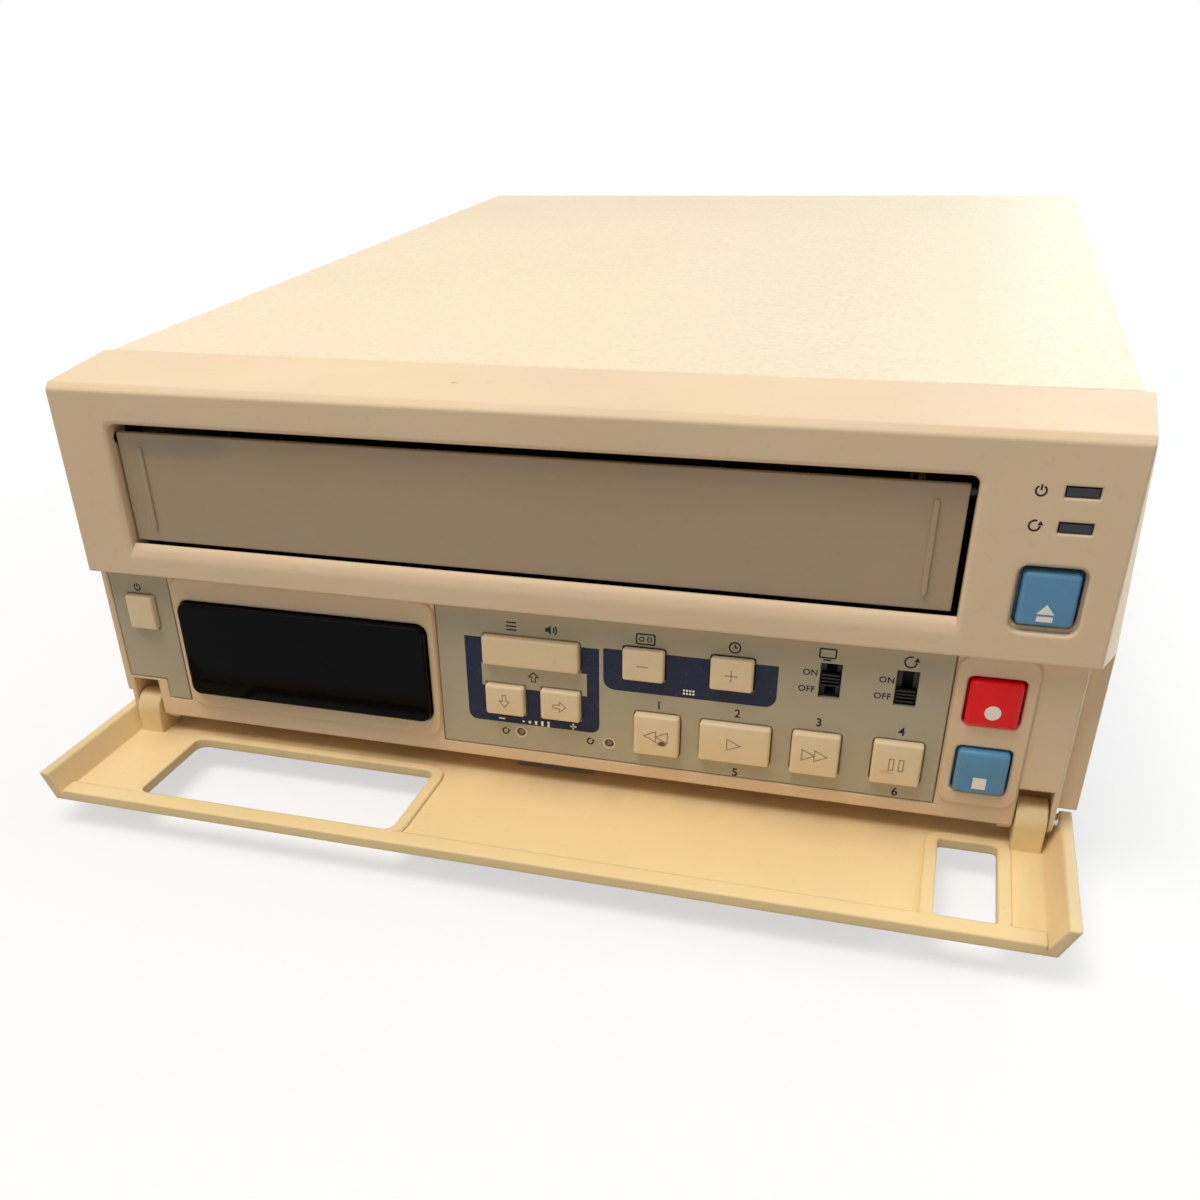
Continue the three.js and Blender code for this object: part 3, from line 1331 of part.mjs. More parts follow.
function upperDrum() {
  const start = lowerDrumHeight + drumGap;
  const half = rod('z', drumRadius, start, start + upperDrumHeight, 0, 0, fineSides);
  const cap = rod('z', drumCapRadius, start + upperDrumHeight - cutOver, start + upperDrumHeight
    + drumCapHeight, 0, 0, fineSides);
  const bore = rod('z', drumShaftRadius + spindleGap, start - cutOver, start + drumBoreDepth, 0, 0);
  return cut(join(half, cap), bore).rotate(drumTilt)
    .translate([drumX, drumY, deckTop + lowerDrumRise]);
}

add('lower_drum', lowerDrum(), 'aluminium');
add('upper_drum', upperDrum(), 'aluminium');

// Tape guides: a sled keyed into its slot, with a flanged roller post
function tapeGuide(side) {
  const base = deckTop + seat;
  const sled = box(-sledWidth / 2, sledWidth / 2, -sledLength / 2, sledLength / 2, base, base + sledHeight);
  const key = box(-guideKeyWidth / 2, guideKeyWidth / 2, -sledLength / 4, sledLength / 4,
    deckHeight, base + sledHeight / 2);
  const post = rod('z', guidePostRadius, base, base + sledHeight + guidePostHeight, 0, 0);
  const flanges = [base + sledHeight, base + sledHeight + guidePostHeight - guideFlangeHeight].map((z) => rod(
    'z', guideFlangeRadius, z, z + guideFlangeHeight, 0, 0));
  return join(sled, key, post, ...flanges).rotate([0, 0, -side * guideLeanOut])
    .translate([deckX(side * guideSpread), deckY(guideSetback), 0]);
}

add('supply_guide', tapeGuide(-1), 'steel');
add('takeup_guide', tapeGuide(1), 'steel');

// Capstan with its flywheel below the motor, and the motor under the deck
const motorTop = deckHeight - seat;
const motorBottom = motorTop - capstanMotorHeight;

add('capstan_motor', cut(
  rod('z', capstanMotorRadius, motorBottom, motorTop, capstanX, capstanY, fineSides),
  rod('z', capstanRadius + spindleGap, motorBottom - cutOver, motorTop + cutOver, capstanX, capstanY),
), 'zinc');
add('capstan', join(
  rod('z', capstanRadius, motorBottom - seat - flywheelHeight, deckTop + capstanRise, capstanX, capstanY),
  rod('z', flywheelRadius, motorBottom - seat - flywheelHeight, motorBottom - seat, capstanX, capstanY,
    fineSides),
), 'steel');

// Pinch arm and its rubber roller
function pinchArm() {
  const base = deckTop + washerHeight + seat;
  const top = base + pinchArmThickness;
  const bar = box(0, pinchArmLength, -pinchArmWidth / 2, pinchArmWidth / 2, base, top);
  const hub = rod('z', pinchHubRadius, base, top, 0, 0);
  const tip = rod('z', pinchHubRadius, base, top, pinchArmLength, 0);
  const pin = rod('z', pinchPinRadius, base, top + seat + pinchHeight, pinchArmLength, 0);
  const bore = rod('z', spindleRadius + spindleGap, base - cutOver, top + cutOver, 0, 0);
  return cut(join(bar, hub, tip, pin), bore).rotate([0, 0, THREE.MathUtils.radToDeg(restTurn)])
    .translate([pinchPivotX, pinchPivotY, 0]);
}

function pinchRoller() {
  const base = deckTop + washerHeight + seat + pinchArmThickness + seat;
  return cut(rod('z', pinchRadius, base, base + pinchHeight, pinchX, pinchY, fineSides),
    rod('z', pinchPinRadius + spindleGap, base - cutOver, base + pinchHeight + cutOver, pinchX, pinchY));
}

add('pinch_arm', pinchArm(), 'zinc');
add('pinch_roller', pinchRoller(), 'rubber');

// Fixed heads: a foot on the deck and a rounded head stack
function tapeHead(x, y) {
  const base = deckTop + seat;
  const foot = box(x - headBaseWidth / 2, x + headBaseWidth / 2, y - headBaseDepth / 2,
    y + headBaseDepth / 2, base, base + headBaseHeight);
  const stack = rod('z', headRadius, base, base + headBaseHeight + headHeight, x, y);
  return join(foot, stack);
}

add('control_head', tapeHead(deckX(controlHeadSpread), deckY(controlHeadSetback)), 'aluminium');
add('erase_head', tapeHead(deckX(-eraseHeadSpread), deckY(eraseHeadSetback)), 'aluminium');

// Loading motor lying on the deck, with the gearbox that turns the cam gear
function loadingMotor() {
  const x = deckX(-motorSpread);
  const y = deckY(motorSetback);
  const base = deckTop + seat;
  const gearbox = box(x - gearboxWidth / 2, x + gearboxWidth / 2, y - gearboxDepth / 2, y + gearboxDepth / 2,
    base, base + gearboxHeight);
  const can = rod('x', motorRadius, x + gearboxWidth / 2 - cutOver, x + gearboxWidth / 2 + motorLength, y,
    base + motorRadius, fineSides);
  return join(gearbox, can);
}

add('loading_motor', loadingMotor(), 'blackPlastic');

// Cassette carriage: a floor, two sides and two lips over the cassette, with guide pins
const carriageHalf = cassetteWidth / 2 + cassetteClearance + carriageSheet;
const carriageFloor = down(carriageFloorDrop);
const carriageTop = carriageFloor + 2 * carriageSheet + cassetteHeight + cassetteClearance;
const carriageBack = carriageFront + cassetteDepth + cassetteClearance;
const pinLevel = carriageFloor + carriagePinRise;
const pinDepths = [carriageFront + carriagePinInset, carriageBack - carriagePinInset];
const railInner = carriageHalf + railGap;
const railOuter = railInner + railThickness;

function cassetteCarriage() {
  const outer = box(deckX(-carriageHalf), deckX(carriageHalf), carriageFront, carriageBack, carriageFloor,
    carriageTop);
  const inside = box(deckX(-carriageHalf + carriageSheet), deckX(carriageHalf - carriageSheet),
    carriageFront - cutOver, carriageBack + cutOver, carriageFloor + carriageSheet,
    carriageTop - carriageSheet);
  const roofGap = box(deckX(-carriageHalf + carriageLipWidth), deckX(carriageHalf - carriageLipWidth),
    carriageFront - cutOver, carriageBack + cutOver, carriageTop - 2 * carriageSheet, carriageTop + cutOver);
  const reelHoles = sides.map((side) => rod('z', reelHoleRadius, carriageFloor - cutOver,
    carriageFloor + carriageSheet + cutOver, deckX(side * reelSpacing / 2), reelY - carriageTravel,
    fineSides));
  const pins = sides.flatMap((side) => pinDepths.map((y) => {
    const [x0, x1] = side > 0 ? [deckX(carriageHalf - carriageSheet / 2), deckX(railOuter - seat)]
      : [deckX(-railOuter + seat), deckX(-carriageHalf + carriageSheet / 2)];
    return rod('x', carriagePinRadius, x0, x1, y, pinLevel);
  }));
  return join(cut(outer, inside, roofGap, ...reelHoles), ...pins);
}

add('cassette_carriage', cassetteCarriage(), 'zinc');

// Side rails on the deck: a wall with a level slot for the carriage pins and a foot
function carriageRail(side) {
  const front = carriageFront + railMargin;
  const back = carriageBack + carriageTravel - railMargin;
  const [x0, x1] = side > 0 ? [deckX(railInner), deckX(railOuter)] : [deckX(-railOuter), deckX(-railInner)];
  const wallBottom = deckTop + seat;
  const wall = box(x0, x1, Math.max(front, deckFront), back, wallBottom, carriageTop);
  const nose = box(x0, x1, front, deckFront + railMargin, carriageFloor - railMargin / 2, carriageTop);
  const foot = side > 0
    ? box(x0 - railFootWidth, x1, deckFront + railMargin, back - railMargin, wallBottom,
      wallBottom + railThickness)
    : box(x0, x1 + railFootWidth, deckFront + railMargin, back - railMargin, wallBottom,
      wallBottom + railThickness);
  const slot = prism('x', roundedRect(pinDepths[0] - carriagePinRadius - runningGap,
    pinDepths[1] + carriageTravel + carriagePinRadius + runningGap, pinLevel - railSlotHeight / 2,
    pinLevel + railSlotHeight / 2, railSlotHeight / 2 * roundEndShare), x0 - cutOver, x1 + cutOver);
  const window = prism('x', roundedRect(deckFront + railWindowMargin, back - railWindowMargin,
    wallBottom + railThickness + railWindowMargin / 2, carriageFloor - railWindowMargin / 4,
    railWindowMargin / 4), x0 - cutOver, x1 + cutOver);
  return cut(join(wall, nose, foot), slot, window);
}

add('carriage_rail_left', carriageRail(-1), 'zinc');
add('carriage_rail_right', carriageRail(1), 'zinc');

// The origin moves to the middle of the footprint, which includes the lowered door and the jacks
const doorTurn = THREE.MathUtils.degToRad(doorOpenDegrees);
const doorReach = (doorTop - doorAxisHeight) * Math.sin(doorTurn) + doorAxisDepth * Math.cos(doorTurn)
  - doorAxisDepth;
const rearReach = panelBackFace + seat + inletLipThickness + jackLength;
machine.position.y = (doorReach - rearReach) / 2;

export default machine;
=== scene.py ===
import json
import math

import bmesh
import bpy
import numpy as np
from mathutils import Matrix, Vector
from mathutils.geometry import intersect_point_line, tessellate_polygon


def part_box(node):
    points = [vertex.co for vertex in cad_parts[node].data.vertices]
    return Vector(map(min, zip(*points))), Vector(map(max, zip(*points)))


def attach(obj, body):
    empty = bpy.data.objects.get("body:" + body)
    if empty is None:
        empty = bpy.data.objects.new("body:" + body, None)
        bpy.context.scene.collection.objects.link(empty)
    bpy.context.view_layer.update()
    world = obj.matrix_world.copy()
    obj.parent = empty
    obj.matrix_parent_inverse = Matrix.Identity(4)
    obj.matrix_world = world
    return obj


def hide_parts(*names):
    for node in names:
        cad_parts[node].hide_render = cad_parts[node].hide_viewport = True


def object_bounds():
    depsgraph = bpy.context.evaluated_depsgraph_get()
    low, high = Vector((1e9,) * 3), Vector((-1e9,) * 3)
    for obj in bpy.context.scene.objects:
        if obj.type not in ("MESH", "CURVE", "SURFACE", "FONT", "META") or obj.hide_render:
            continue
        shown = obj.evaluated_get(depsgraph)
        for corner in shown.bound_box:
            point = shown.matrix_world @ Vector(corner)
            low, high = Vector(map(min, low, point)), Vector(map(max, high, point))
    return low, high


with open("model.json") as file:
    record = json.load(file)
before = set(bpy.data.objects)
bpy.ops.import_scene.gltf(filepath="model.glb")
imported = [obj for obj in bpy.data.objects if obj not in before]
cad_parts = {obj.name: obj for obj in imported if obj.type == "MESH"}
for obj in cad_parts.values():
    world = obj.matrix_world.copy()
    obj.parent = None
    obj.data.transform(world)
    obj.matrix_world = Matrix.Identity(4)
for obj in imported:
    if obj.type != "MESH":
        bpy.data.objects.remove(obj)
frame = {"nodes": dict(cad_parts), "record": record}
cad_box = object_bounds()

MM = 0.001
NODES = frame["nodes"]
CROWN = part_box("top_cover")[1].z
FACE_TOP = CROWN - 3 * MM


def linked(name, data):
    """A new object in the scene."""
    made = bpy.data.objects.new(name, data)
    bpy.context.scene.collection.objects.link(made)
    return made


# The camera stands where the photograph was taken from

CAMERA_PLACE = (0.09159, -0.44723, 0.19137)
CAMERA_TURN_DEGREES = (56.4708, 2.0262, 17.7982)
CAMERA_LENS = 36.556
CAMERA_SENSOR = 36.0
CAMERA_SHIFT = (0.0592, 0.1857)


def make_camera():
    data = bpy.data.cameras.new("camera")
    data.sensor_width = CAMERA_SENSOR
    data.lens = CAMERA_LENS
    data.shift_x, data.shift_y = CAMERA_SHIFT
    data.clip_start = 10 * MM
    data.clip_end = 30.0
    camera = linked("camera", data)
    camera.location = CAMERA_PLACE
    camera.rotation_euler = [math.radians(turn) for turn in CAMERA_TURN_DEGREES]
    bpy.context.scene.camera = camera


# Materials and the world are small node trees, written with helper classes


def linear(red, green, blue):
    """A colour as seen on a screen, from 0 to 255, as linear light for a shader."""
    shares = [level / 255 for level in (red, green, blue)]
    return tuple(s / 12.92 if s <= 0.04045 else ((s + 0.055) / 1.055) ** 2.4 for s in shares)


def scaled(colour, factor):
    return tuple(min(1.0, channel * factor) for channel in colour)


class Tree:
    """Makes and links nodes by short calls."""

    def __init__(self, tree):
        self.tree = tree

    def node(self, kind, inputs=(), **settings):
        """A node, its inputs given as values or as outputs of other nodes."""
        made = self.tree.nodes.new(kind)
        for key, value in settings.items():
            setattr(made, key, value)
        for socket, term in dict(inputs).items():
            if isinstance(term, bpy.types.NodeSocket):
                self.link(term, made.inputs[socket])
            else:
                made.inputs[socket].default_value = term
        return made

    def link(self, source, target):
        self.tree.links.new(source, target)

    def math(self, operation, *terms):
        """One sum on numbers and sockets."""
        return self.node("ShaderNodeMath", enumerate(terms), operation=operation).outputs["Value"]

    def seen_directly(self):
        """A factor that is 1 for rays from the camera, in reflections and through glass."""
        rays = self.node("ShaderNodeLightPath").outputs
        factor = self.math("MAXIMUM", rays["Is Camera Ray"], rays["Is Glossy Ray"])
        return self.math("MAXIMUM", factor, rays["Is Transmission Ray"])

    def show(self, output, *parts):
        """Shows a mix of two shaders, from a factor and the two."""
        mix = self.node("ShaderNodeMixShader", enumerate(parts))
        self.link(mix.outputs["Shader"], self.tree.nodes[output].inputs["Surface"])


class Finish(Tree):
    """Builds one material on a principled shader."""

    def __init__(self, name, colour, roughness, metallic=0.0, specular=0.5):
        self.name = name
        self.material = bpy.data.materials.new(name)
        self.material.use_nodes = True
        super().__init__(self.material.node_tree)
        self.shader = self.tree.nodes["Principled BSDF"]
        values = {"Base Color": (*colour, 1), "Roughness": roughness, "Metallic": metallic,
                  "Specular IOR Level": specular}
        for socket, value in values.items():
            self.shader.inputs[socket].default_value = value
        self.place = self.node("ShaderNodeTexCoord").outputs["Object"]
        self.normal = None

    def noise(self, scale, detail=4.0, stretch=(1, 1, 1)):
        """Noise of about one lump to each 1/scale metres, as a factor from 0 to 1."""
        place = self.place
        if stretch != (1, 1, 1):
            place = self.node("ShaderNodeMapping", {"Vector": place, "Scale": stretch}).outputs["Vector"]
        inputs = {"Vector": place, "Scale": scale, "Detail": detail}
        return self.node("ShaderNodeTexNoise", inputs).outputs["Fac"]

    def ramp(self, factor, low, high):
        """Turns a factor into 0 below low and 1 above high."""
        inputs = {"Value": factor, "From Min": low, "From Max": high}
        return self.node("ShaderNodeMapRange", inputs).outputs["Result"]

    def levels(self, factor, low, high):
        """Turns a factor from 0 to 1 into a value from low to high."""
        inputs = {"Value": factor, "To Min": low, "To Max": high}
        return self.node("ShaderNodeMapRange", inputs).outputs["Result"]

    def blend_colour(self, factor, other):
        """Lays another colour over the base colour where the factor is high."""
        socket = self.shader.inputs["Base Color"]
        base = socket.links[0].from_socket if socket.is_linked else socket.default_value
        inputs = {"Factor": factor, "A": base, "B": (*other, 1)}
        self.link(self.node("ShaderNodeMix", inputs, data_type="RGBA").outputs["Result"], socket)

    def vary_roughness(self, factor, low, high):
        self.link(self.levels(factor, low, high), self.shader.inputs["Roughness"])

    def bevelled(self, radius):
        return self.node("ShaderNodeBevel", {"Radius": radius}, samples=4).outputs["Normal"]

    def set_normal(self, normal):
        self.normal = normal
        self.link(normal, self.shader.inputs["Normal"])

    def soften_edges(self, radius):
        """Rounds the look of sharp edges."""
        self.set_normal(self.bevelled(radius))

    def bump(self, factor, height):
        inputs = {"Distance": height, "Height": factor}
        if self.normal:
            inputs["Normal"] = self.normal
        self.set_normal(self.node("ShaderNodeBump", inputs).outputs["Normal"])

    def share_of(self, vector, axis):
        return self.node("ShaderNodeSeparateXYZ", {"Vector": vector}).outputs[axis]

    def along(self, axis):
        """The place on one axis, in metres."""
        return self.share_of(self.place, axis)

    def facing(self, axis):
        """How far the surface looks along an axis of the object itself, from -1 to 1."""
        return self.share_of(self.node("ShaderNodeTexCoord").outputs["Normal"], axis)

    def axis_share(self, axis, start, end):
        """A factor that climbs from 0 to 1 between two places on an axis."""
        return self.ramp(self.along(axis), start, end)

    def near(self, centre, radius, squeeze):
        """A factor that is 1 at a place and falls to 0 at a radius, with a ragged rim."""
        inputs = {"Vector": self.place, "Location": centre, "Scale": squeeze}
        offset = self.node("ShaderNodeMapping", inputs, vector_type="TEXTURE").outputs["Vector"]
        size = self.node("ShaderNodeVectorMath", {0: offset}, operation="LENGTH").outputs["Value"]
        rim = self.levels(self.noise(1 / radius, 6), 0.4, 1.6)
        return self.ramp(self.math("MULTIPLY", rim, size), radius, radius * 0.55)

    def spots(self, origin, marks):
        """Marks of wear or dirt, placed from an origin."""
        for place, radius, colour, strength, squeeze in marks:
            near = self.near(origin + Vector(place) * MM, radius * MM, squeeze)
            self.blend_colour(self.math("MULTIPLY", near, strength), colour)

    def worn_edges(self, radius, colour, strength):
        """Lightens the narrow strips where the faces turn."""
        normals = self.bevelled(radius), self.node("ShaderNodeNewGeometry").outputs["Normal"]
        product = self.node("ShaderNodeVectorMath", enumerate(normals), operation="DOT_PRODUCT")
        turned = self.ramp(product.outputs["Value"], 0.995, 0.86)
        patchy = self.math("MULTIPLY", turned, self.levels(self.noise(90), 0.0, strength))
        self.blend_colour(patchy, colour)


BEIGE = linear(240, 212, 177)
DOOR_BEIGE = linear(254, 225, 168)
CREAM = linear(247, 226, 193)
SHEEN_CREAM = linear(243, 232, 204)
TAUPE = linear(184, 161, 132)
GREY_GREEN = linear(190, 180, 154)
CAP_BEIGE = linear(248, 224, 186)
BLUE_GREY = linear(92, 152, 196)
SIGNAL_RED = linear(255, 4, 18)
SIGNAL_YELLOW = linear(232, 184, 30)
NAVY = linear(32, 41, 68)
INK = linear(30, 29, 36)
WHITE_INK = linear(252, 249, 242)
SMOKE = linear(5, 6, 9)
LENS = linear(40, 42, 50)
PLUNGER_GREY = linear(150, 142, 130)
SCORCH = linear(96, 58, 30)
RUBBED_AND_SHADED = linear(206, 180, 142)
CHIP = linear(150, 118, 82)
DUST_GREY = linear(152, 142, 127)
NEAR_BLACK = linear(18, 18, 21)
ZINC = linear(178, 182, 182)
STEEL = linear(196, 199, 202)
ALUMINIUM = linear(206, 208, 210)
BOARD_GREEN = linear(38, 98, 62)
VARNISH = linear(104, 84, 46)
RUBBER = linear(26, 26, 27)
NYLON = linear(226, 222, 210)
GRIME = linear(150, 120, 84)

EDGE_RADIUS = 0.5 * MM
FINE_EDGE_RADIUS = 0.25 * MM
BROAD_EDGE_RADIUS = 0.9 * MM


# How old plastic has turned in broad patches
AGED = 0.93


def aged_patches(finish):
    return finish.ramp(finish.noise(14, 3), 0.35, 0.75)


def moulded(name, colour, roughness=0.48, edge=EDGE_RADIUS):
    """Old moulded plastic: a fine grain, uneven yellowing and lighter worn edges."""
    finish = Finish(name, colour, roughness, specular=0.36)
    finish.blend_colour(aged_patches(finish), scaled(colour, AGED))
    finish.blend_colour(finish.levels(finish.ramp(finish.noise(420, 2), 0.64, 0.8), 0, 0.08), GRIME)
    finish.worn_edges(EDGE_RADIUS, scaled(colour, 1.25), 0.5)
    finish.vary_roughness(finish.noise(60, 5), roughness - 0.08, roughness + 0.1)
    finish.soften_edges(edge)
    finish.bump(finish.noise(2600, 2), 0.012 * MM)
    return finish


# Marks of wear: place and radius in millimetres, colour, strength and how far each axis is drawn out
FRONT_MARKS = (
    ((-68.5, 0, 0), 1.1, CHIP, 0.7, (1.6, 1, 1)),
    ((-24.6, 15.8, 0), 1.1, CHIP, 0.7, (1.6, 1, 1)),
    ((-19.3, 0, -1.0), 1.1, CHIP, 0.7, (1.6, 1, 1)),
    ((75.6, 0, -0.8), 1.5, CHIP, 0.45, (4, 1, 0.5)),
)
FLAP_MARKS = (
    ((-106, 0, 98.5), 9, DUST_GREY, 0.45, (1.4, 1, 0.4)),
    ((-94, 0, 99), 9, DUST_GREY, 0.45, (1.4, 1, 0.4)),
)
KEY_MARKS = (
    ((33.2, 0, 27.6), 1.2, SCORCH, 0.95, (1.2, 1, 0.8)),
    ((91.2, 0, 27.7), 1.3, GRIME, 0.22, (1.6, 1, 0.6)),
)


def front_moulding():
    """The front's plastic, chipped along its top edge."""
    finish = moulded("moulding", BEIGE, edge=BROAD_EDGE_RADIUS)
    finish.spots(Vector((0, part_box("front_bezel")[0].y, CROWN)), FRONT_MARKS)
    return finish


def door_plastic():
    """The front's plastic: yellowed on the inside, which lies open, and not on the outside."""
    finish = moulded("door", DOOR_BEIGE, 0.42, edge=BROAD_EDGE_RADIUS)
    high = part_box("front_door")[1]
    # Darker streaks towards the hinge side and the ends: partly painted shade under the front's overhang,
    # partly wear and grime
    hinge_shade = finish.axis_share("Y", high.y - 26 * MM, high.y - 11 * MM)
    ends = finish.ramp(finish.math("ABSOLUTE", finish.along("X")), high.x - 14 * MM, high.x - 6 * MM)
    streaks = finish.levels(finish.ramp(finish.noise(60, 6, (1, 0.35, 1)), 0.36, 0.66), 0.1, 0.55)
    finish.blend_colour(finish.math("MULTIPLY", finish.math("MAXIMUM", hinge_shade, ends), streaks), RUBBED_AND_SHADED)
    outside = finish.ramp(finish.facing("Z"), -0.4, -0.8)
    finish.blend_colour(outside, BEIGE)
    finish.blend_colour(finish.math("MULTIPLY", outside, aged_patches(finish)), scaled(BEIGE, AGED))
    return finish


# How far the flap's hinge pins stand out
PIN_LEFT, PIN_RIGHT = 2 * MM, 2.9 * MM


def flap_plastic():
    """Darker plastic, its hinge pins painted near black as shade and its top left corner handled grey."""
    finish = moulded("flap", TAUPE, 0.42)
    low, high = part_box("cassette_flap")
    blend = 0.1 * MM
    # Painted shade: the hinge pins at both ends turn near black
    pins = finish.math("MAXIMUM", finish.axis_share("X", low.x + PIN_LEFT, low.x + PIN_LEFT - blend),
                       finish.axis_share("X", high.x - PIN_RIGHT, high.x - PIN_RIGHT + blend))
    finish.blend_colour(pins, NEAR_BLACK)
    finish.spots(Vector((0, low.y, 0)), FLAP_MARKS)
    return finish


def cap_plastic():
    """Button plastic with one scorched spot and one scuff."""
    finish = moulded("cap", CAP_BEIGE, 0.4)
    finish.spots(Vector((0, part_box("rewind_button")[0].y, 0)), KEY_MARKS)
    return finish


def sheet_metal(name, colour, roughness=0.38):
    finish = Finish(name, colour, roughness, 0.9)
    finish.blend_colour(finish.ramp(finish.noise(35, 6), 0.3, 0.8), scaled(colour, 0.82))
    finish.vary_roughness(finish.noise(120, 5), roughness - 0.1, roughness + 0.15)
    finish.soften_edges(FINE_EDGE_RADIUS)
    return finish


def cover_paint():
    """Textured cream paint with a dense, low orange-peel grain, and a painted sheen that makes it lighter and
    cooler towards the right.
    """
    finish = Finish("cover_paint", CREAM, 0.5)
    finish.blend_colour(finish.ramp(finish.noise(9, 3), 0.3, 0.8), scaled(CREAM, 0.95))
    # Painted sheen: the paint turns lighter and cooler towards the right
    finish.blend_colour(finish.levels(finish.axis_share("X", -0.02, 0.1), 0, 0.7), SHEEN_CREAM)
    grain = finish.levels(finish.ramp(finish.noise(700, 2), 0.45, 0.75), 0, 0.5)
    finish.blend_colour(grain, scaled(CREAM, 0.78))
    finish.vary_roughness(finish.noise(500, 3), 0.38, 0.62)
    finish.soften_edges(EDGE_RADIUS)
    finish.bump(finish.noise(1100, 3), 0.13 * MM)
    return finish


def smoked_glass():
    finish = Finish("smoked", SMOKE, 0.07, specular=0.06)
    finish.vary_roughness(finish.noise(70, 6), 0.04, 0.12)
    finish.soften_edges(EDGE_RADIUS)
    return finish


BOARD_THICKNESS = 1.6 * MM


def circuit_board():
    """Green solder mask behind, and dark switch cases in front of the board's face."""
    finish = Finish("board", BOARD_GREEN, 0.45)
    finish.blend_colour(finish.ramp(finish.noise(260, 3, (1, 6, 1)), 0.48, 0.56), scaled(BOARD_GREEN, 1.7))
    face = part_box("switch_board")[1].y - BOARD_THICKNESS
    finish.blend_colour(finish.axis_share("Y", face, face - 0.1 * MM), NEAR_BLACK)
    finish.vary_roughness(finish.noise(90), 0.35, 0.6)
    finish.soften_edges(FINE_EDGE_RADIUS)
    return finish


def dark_rubber(name, colour, roughness):
    finish = Finish(name, colour, roughness)
    finish.blend_colour(finish.ramp(finish.noise(80, 5), 0.4, 0.8), scaled(colour, 1.5))
    finish.vary_roughness(finish.noise(200), roughness - 0.12, roughness + 0.08)
    finish.soften_edges(FINE_EDGE_RADIUS)
    finish.bump(finish.noise(1800), 0.02 * MM)
    return finish


def ink(name, colour):
    """A screen print: nearly flat, with tiny thin spots."""
    finish = Finish(name, colour, 0.55, specular=0.25)
    finish.blend_colour(finish.levels(finish.ramp(finish.noise(900, 2), 0.6, 0.8), 0, 0.06), GREY_GREEN)
    finish.vary_roughness(finish.noise(300), 0.48, 0.62)
    return finish


def glossy_cap(name, colour, specular=0.42):
    finish = Finish(name, colour, 0.25, specular=specular)
    finish.blend_colour(finish.ramp(finish.noise(120, 3), 0.4, 0.8), scaled(colour, 0.86))
    finish.vary_roughness(finish.noise(160, 4), 0.18, 0.32)
    finish.bump(finish.noise(1500), 0.006 * MM)
    return finish


FINISHES = {finish.name: finish for finish in (
    front_moulding(),
    door_plastic(),
    flap_plastic(),
    moulded("plate", GREY_GREEN, 0.5),
    cap_plastic(),
    glossy_cap("blue_cap", BLUE_GREY),
    glossy_cap("red_cap", SIGNAL_RED, 0.26),
    smoked_glass(),
    dark_rubber("black_plastic", NEAR_BLACK, 0.4),
    cover_paint(),
    sheet_metal("zinc_sheet", ZINC),
    sheet_metal("bright_steel", STEEL, 0.24),
    sheet_metal("head_metal", ALUMINIUM, 0.22),
    circuit_board(),
    dark_rubber("supply", VARNISH, 0.45),
    dark_rubber("rubber", RUBBER, 0.75),
    moulded("white_plastic", NYLON, 0.45),
    ink("dark_ink", INK),
    ink("navy_ink", NAVY),
    ink("white_ink", WHITE_INK),
    moulded("plate_ink", GREY_GREEN, 0.5),
    glossy_cap("lens", LENS),
    glossy_cap("knob", SMOKE),
    glossy_cap("yellow_ring", SIGNAL_YELLOW),
    moulded("plunger", PLUNGER_GREY, 0.5),
    dark_rubber("dark_board", RUBBER, 0.6),
    # Painted shade: signs cut into the beige caps are flat marks in a darker copy of the cap colour, standing
    # in for the shade in their grooves
    ink("groove_shade", scaled(CAP_BEIGE, 0.42)),
)}


def paint(obj, finish):
    obj.data.materials.clear()
    obj.data.materials.append(FINISHES[finish].material)


# The record's finish for each node, apart from some that are finer here
NODE_FINISHES = {subpart["node"]: subpart["material_slot"] for subpart in frame["record"]["subparts"]}
NODE_FINISHES.update(front_door="door", switch_board="dark_board", power_lamp="lens", repeat_lamp="lens",
                     all_reset="plunger", menu_reset="plunger")


def dress_nodes():
    for node, finish in NODE_FINISHES.items():
        paint(NODES[node], finish)


# Pieces made here


def add_piece(name, mesh, body, finish):
    piece = linked(name, mesh)
    paint(piece, finish)
    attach(piece, body)
    return piece


def mesh_from(name, builder):
    """A mesh filled by a function that takes a bmesh."""
    work = bmesh.new()
    builder(work)
    bmesh.ops.recalc_face_normals(work, faces=work.faces)
    mesh = bpy.data.meshes.new(name)
    work.to_mesh(mesh)
    work.free()
    return mesh


# Push button caps with rounded edges and a slightly crowned face

FLANGE_LIP = 0.7 * MM
FLANGE_THICKNESS = 0.9 * MM
STEM_HALF = 2 * MM
CAP_CORNER = 0.6 * MM
CAP_FILLET = 0.7 * MM
BOLD_FILLET = 1.15 * MM
SEAT_GAP = 0.3 * MM
FLANGE_DEPTH = 3.5 * MM
DEEP_FLANGES = {"record_button": 4.8 * MM, "stop_button": 4.8 * MM, "eject_button": 4.3 * MM}
CORNER_STEPS = 5
FILLET_STEPS = 4


def rounded_ring(work, low, high, corner, depth):
    """A loop of vertices round a rectangle in X and Z, at one depth."""
    ring = []
    corners = ((high[0], low[1], -90), (high[0], high[1], 0), (low[0], high[1], 90), (low[0], low[1], 180))
    for x, z, start in corners:
        inward_x = corner if x == low[0] else -corner
        inward_z = corner if z == low[1] else -corner
        for step in range(CORNER_STEPS + 1):
            turn = math.radians(start + 90 * step / CORNER_STEPS)
            place = (x + inward_x + corner * math.cos(turn), depth, z + inward_z + corner * math.sin(turn))
            ring.append(work.verts.new(place))
    return ring


def bridge(work, first, second):
    for index, vertex in enumerate(first):
        following = (index + 1) % len(first)
        work.faces.new((vertex, first[following], second[following], second[index]))


def loft(work, rings):
    """Joins loops of vertices in turn and fills both ends."""
    for first, second in zip(rings, rings[1:]):
        bridge(work, first, second)
    work.faces.new(rings[-1])
    work.faces.new(list(reversed(rings[0])))


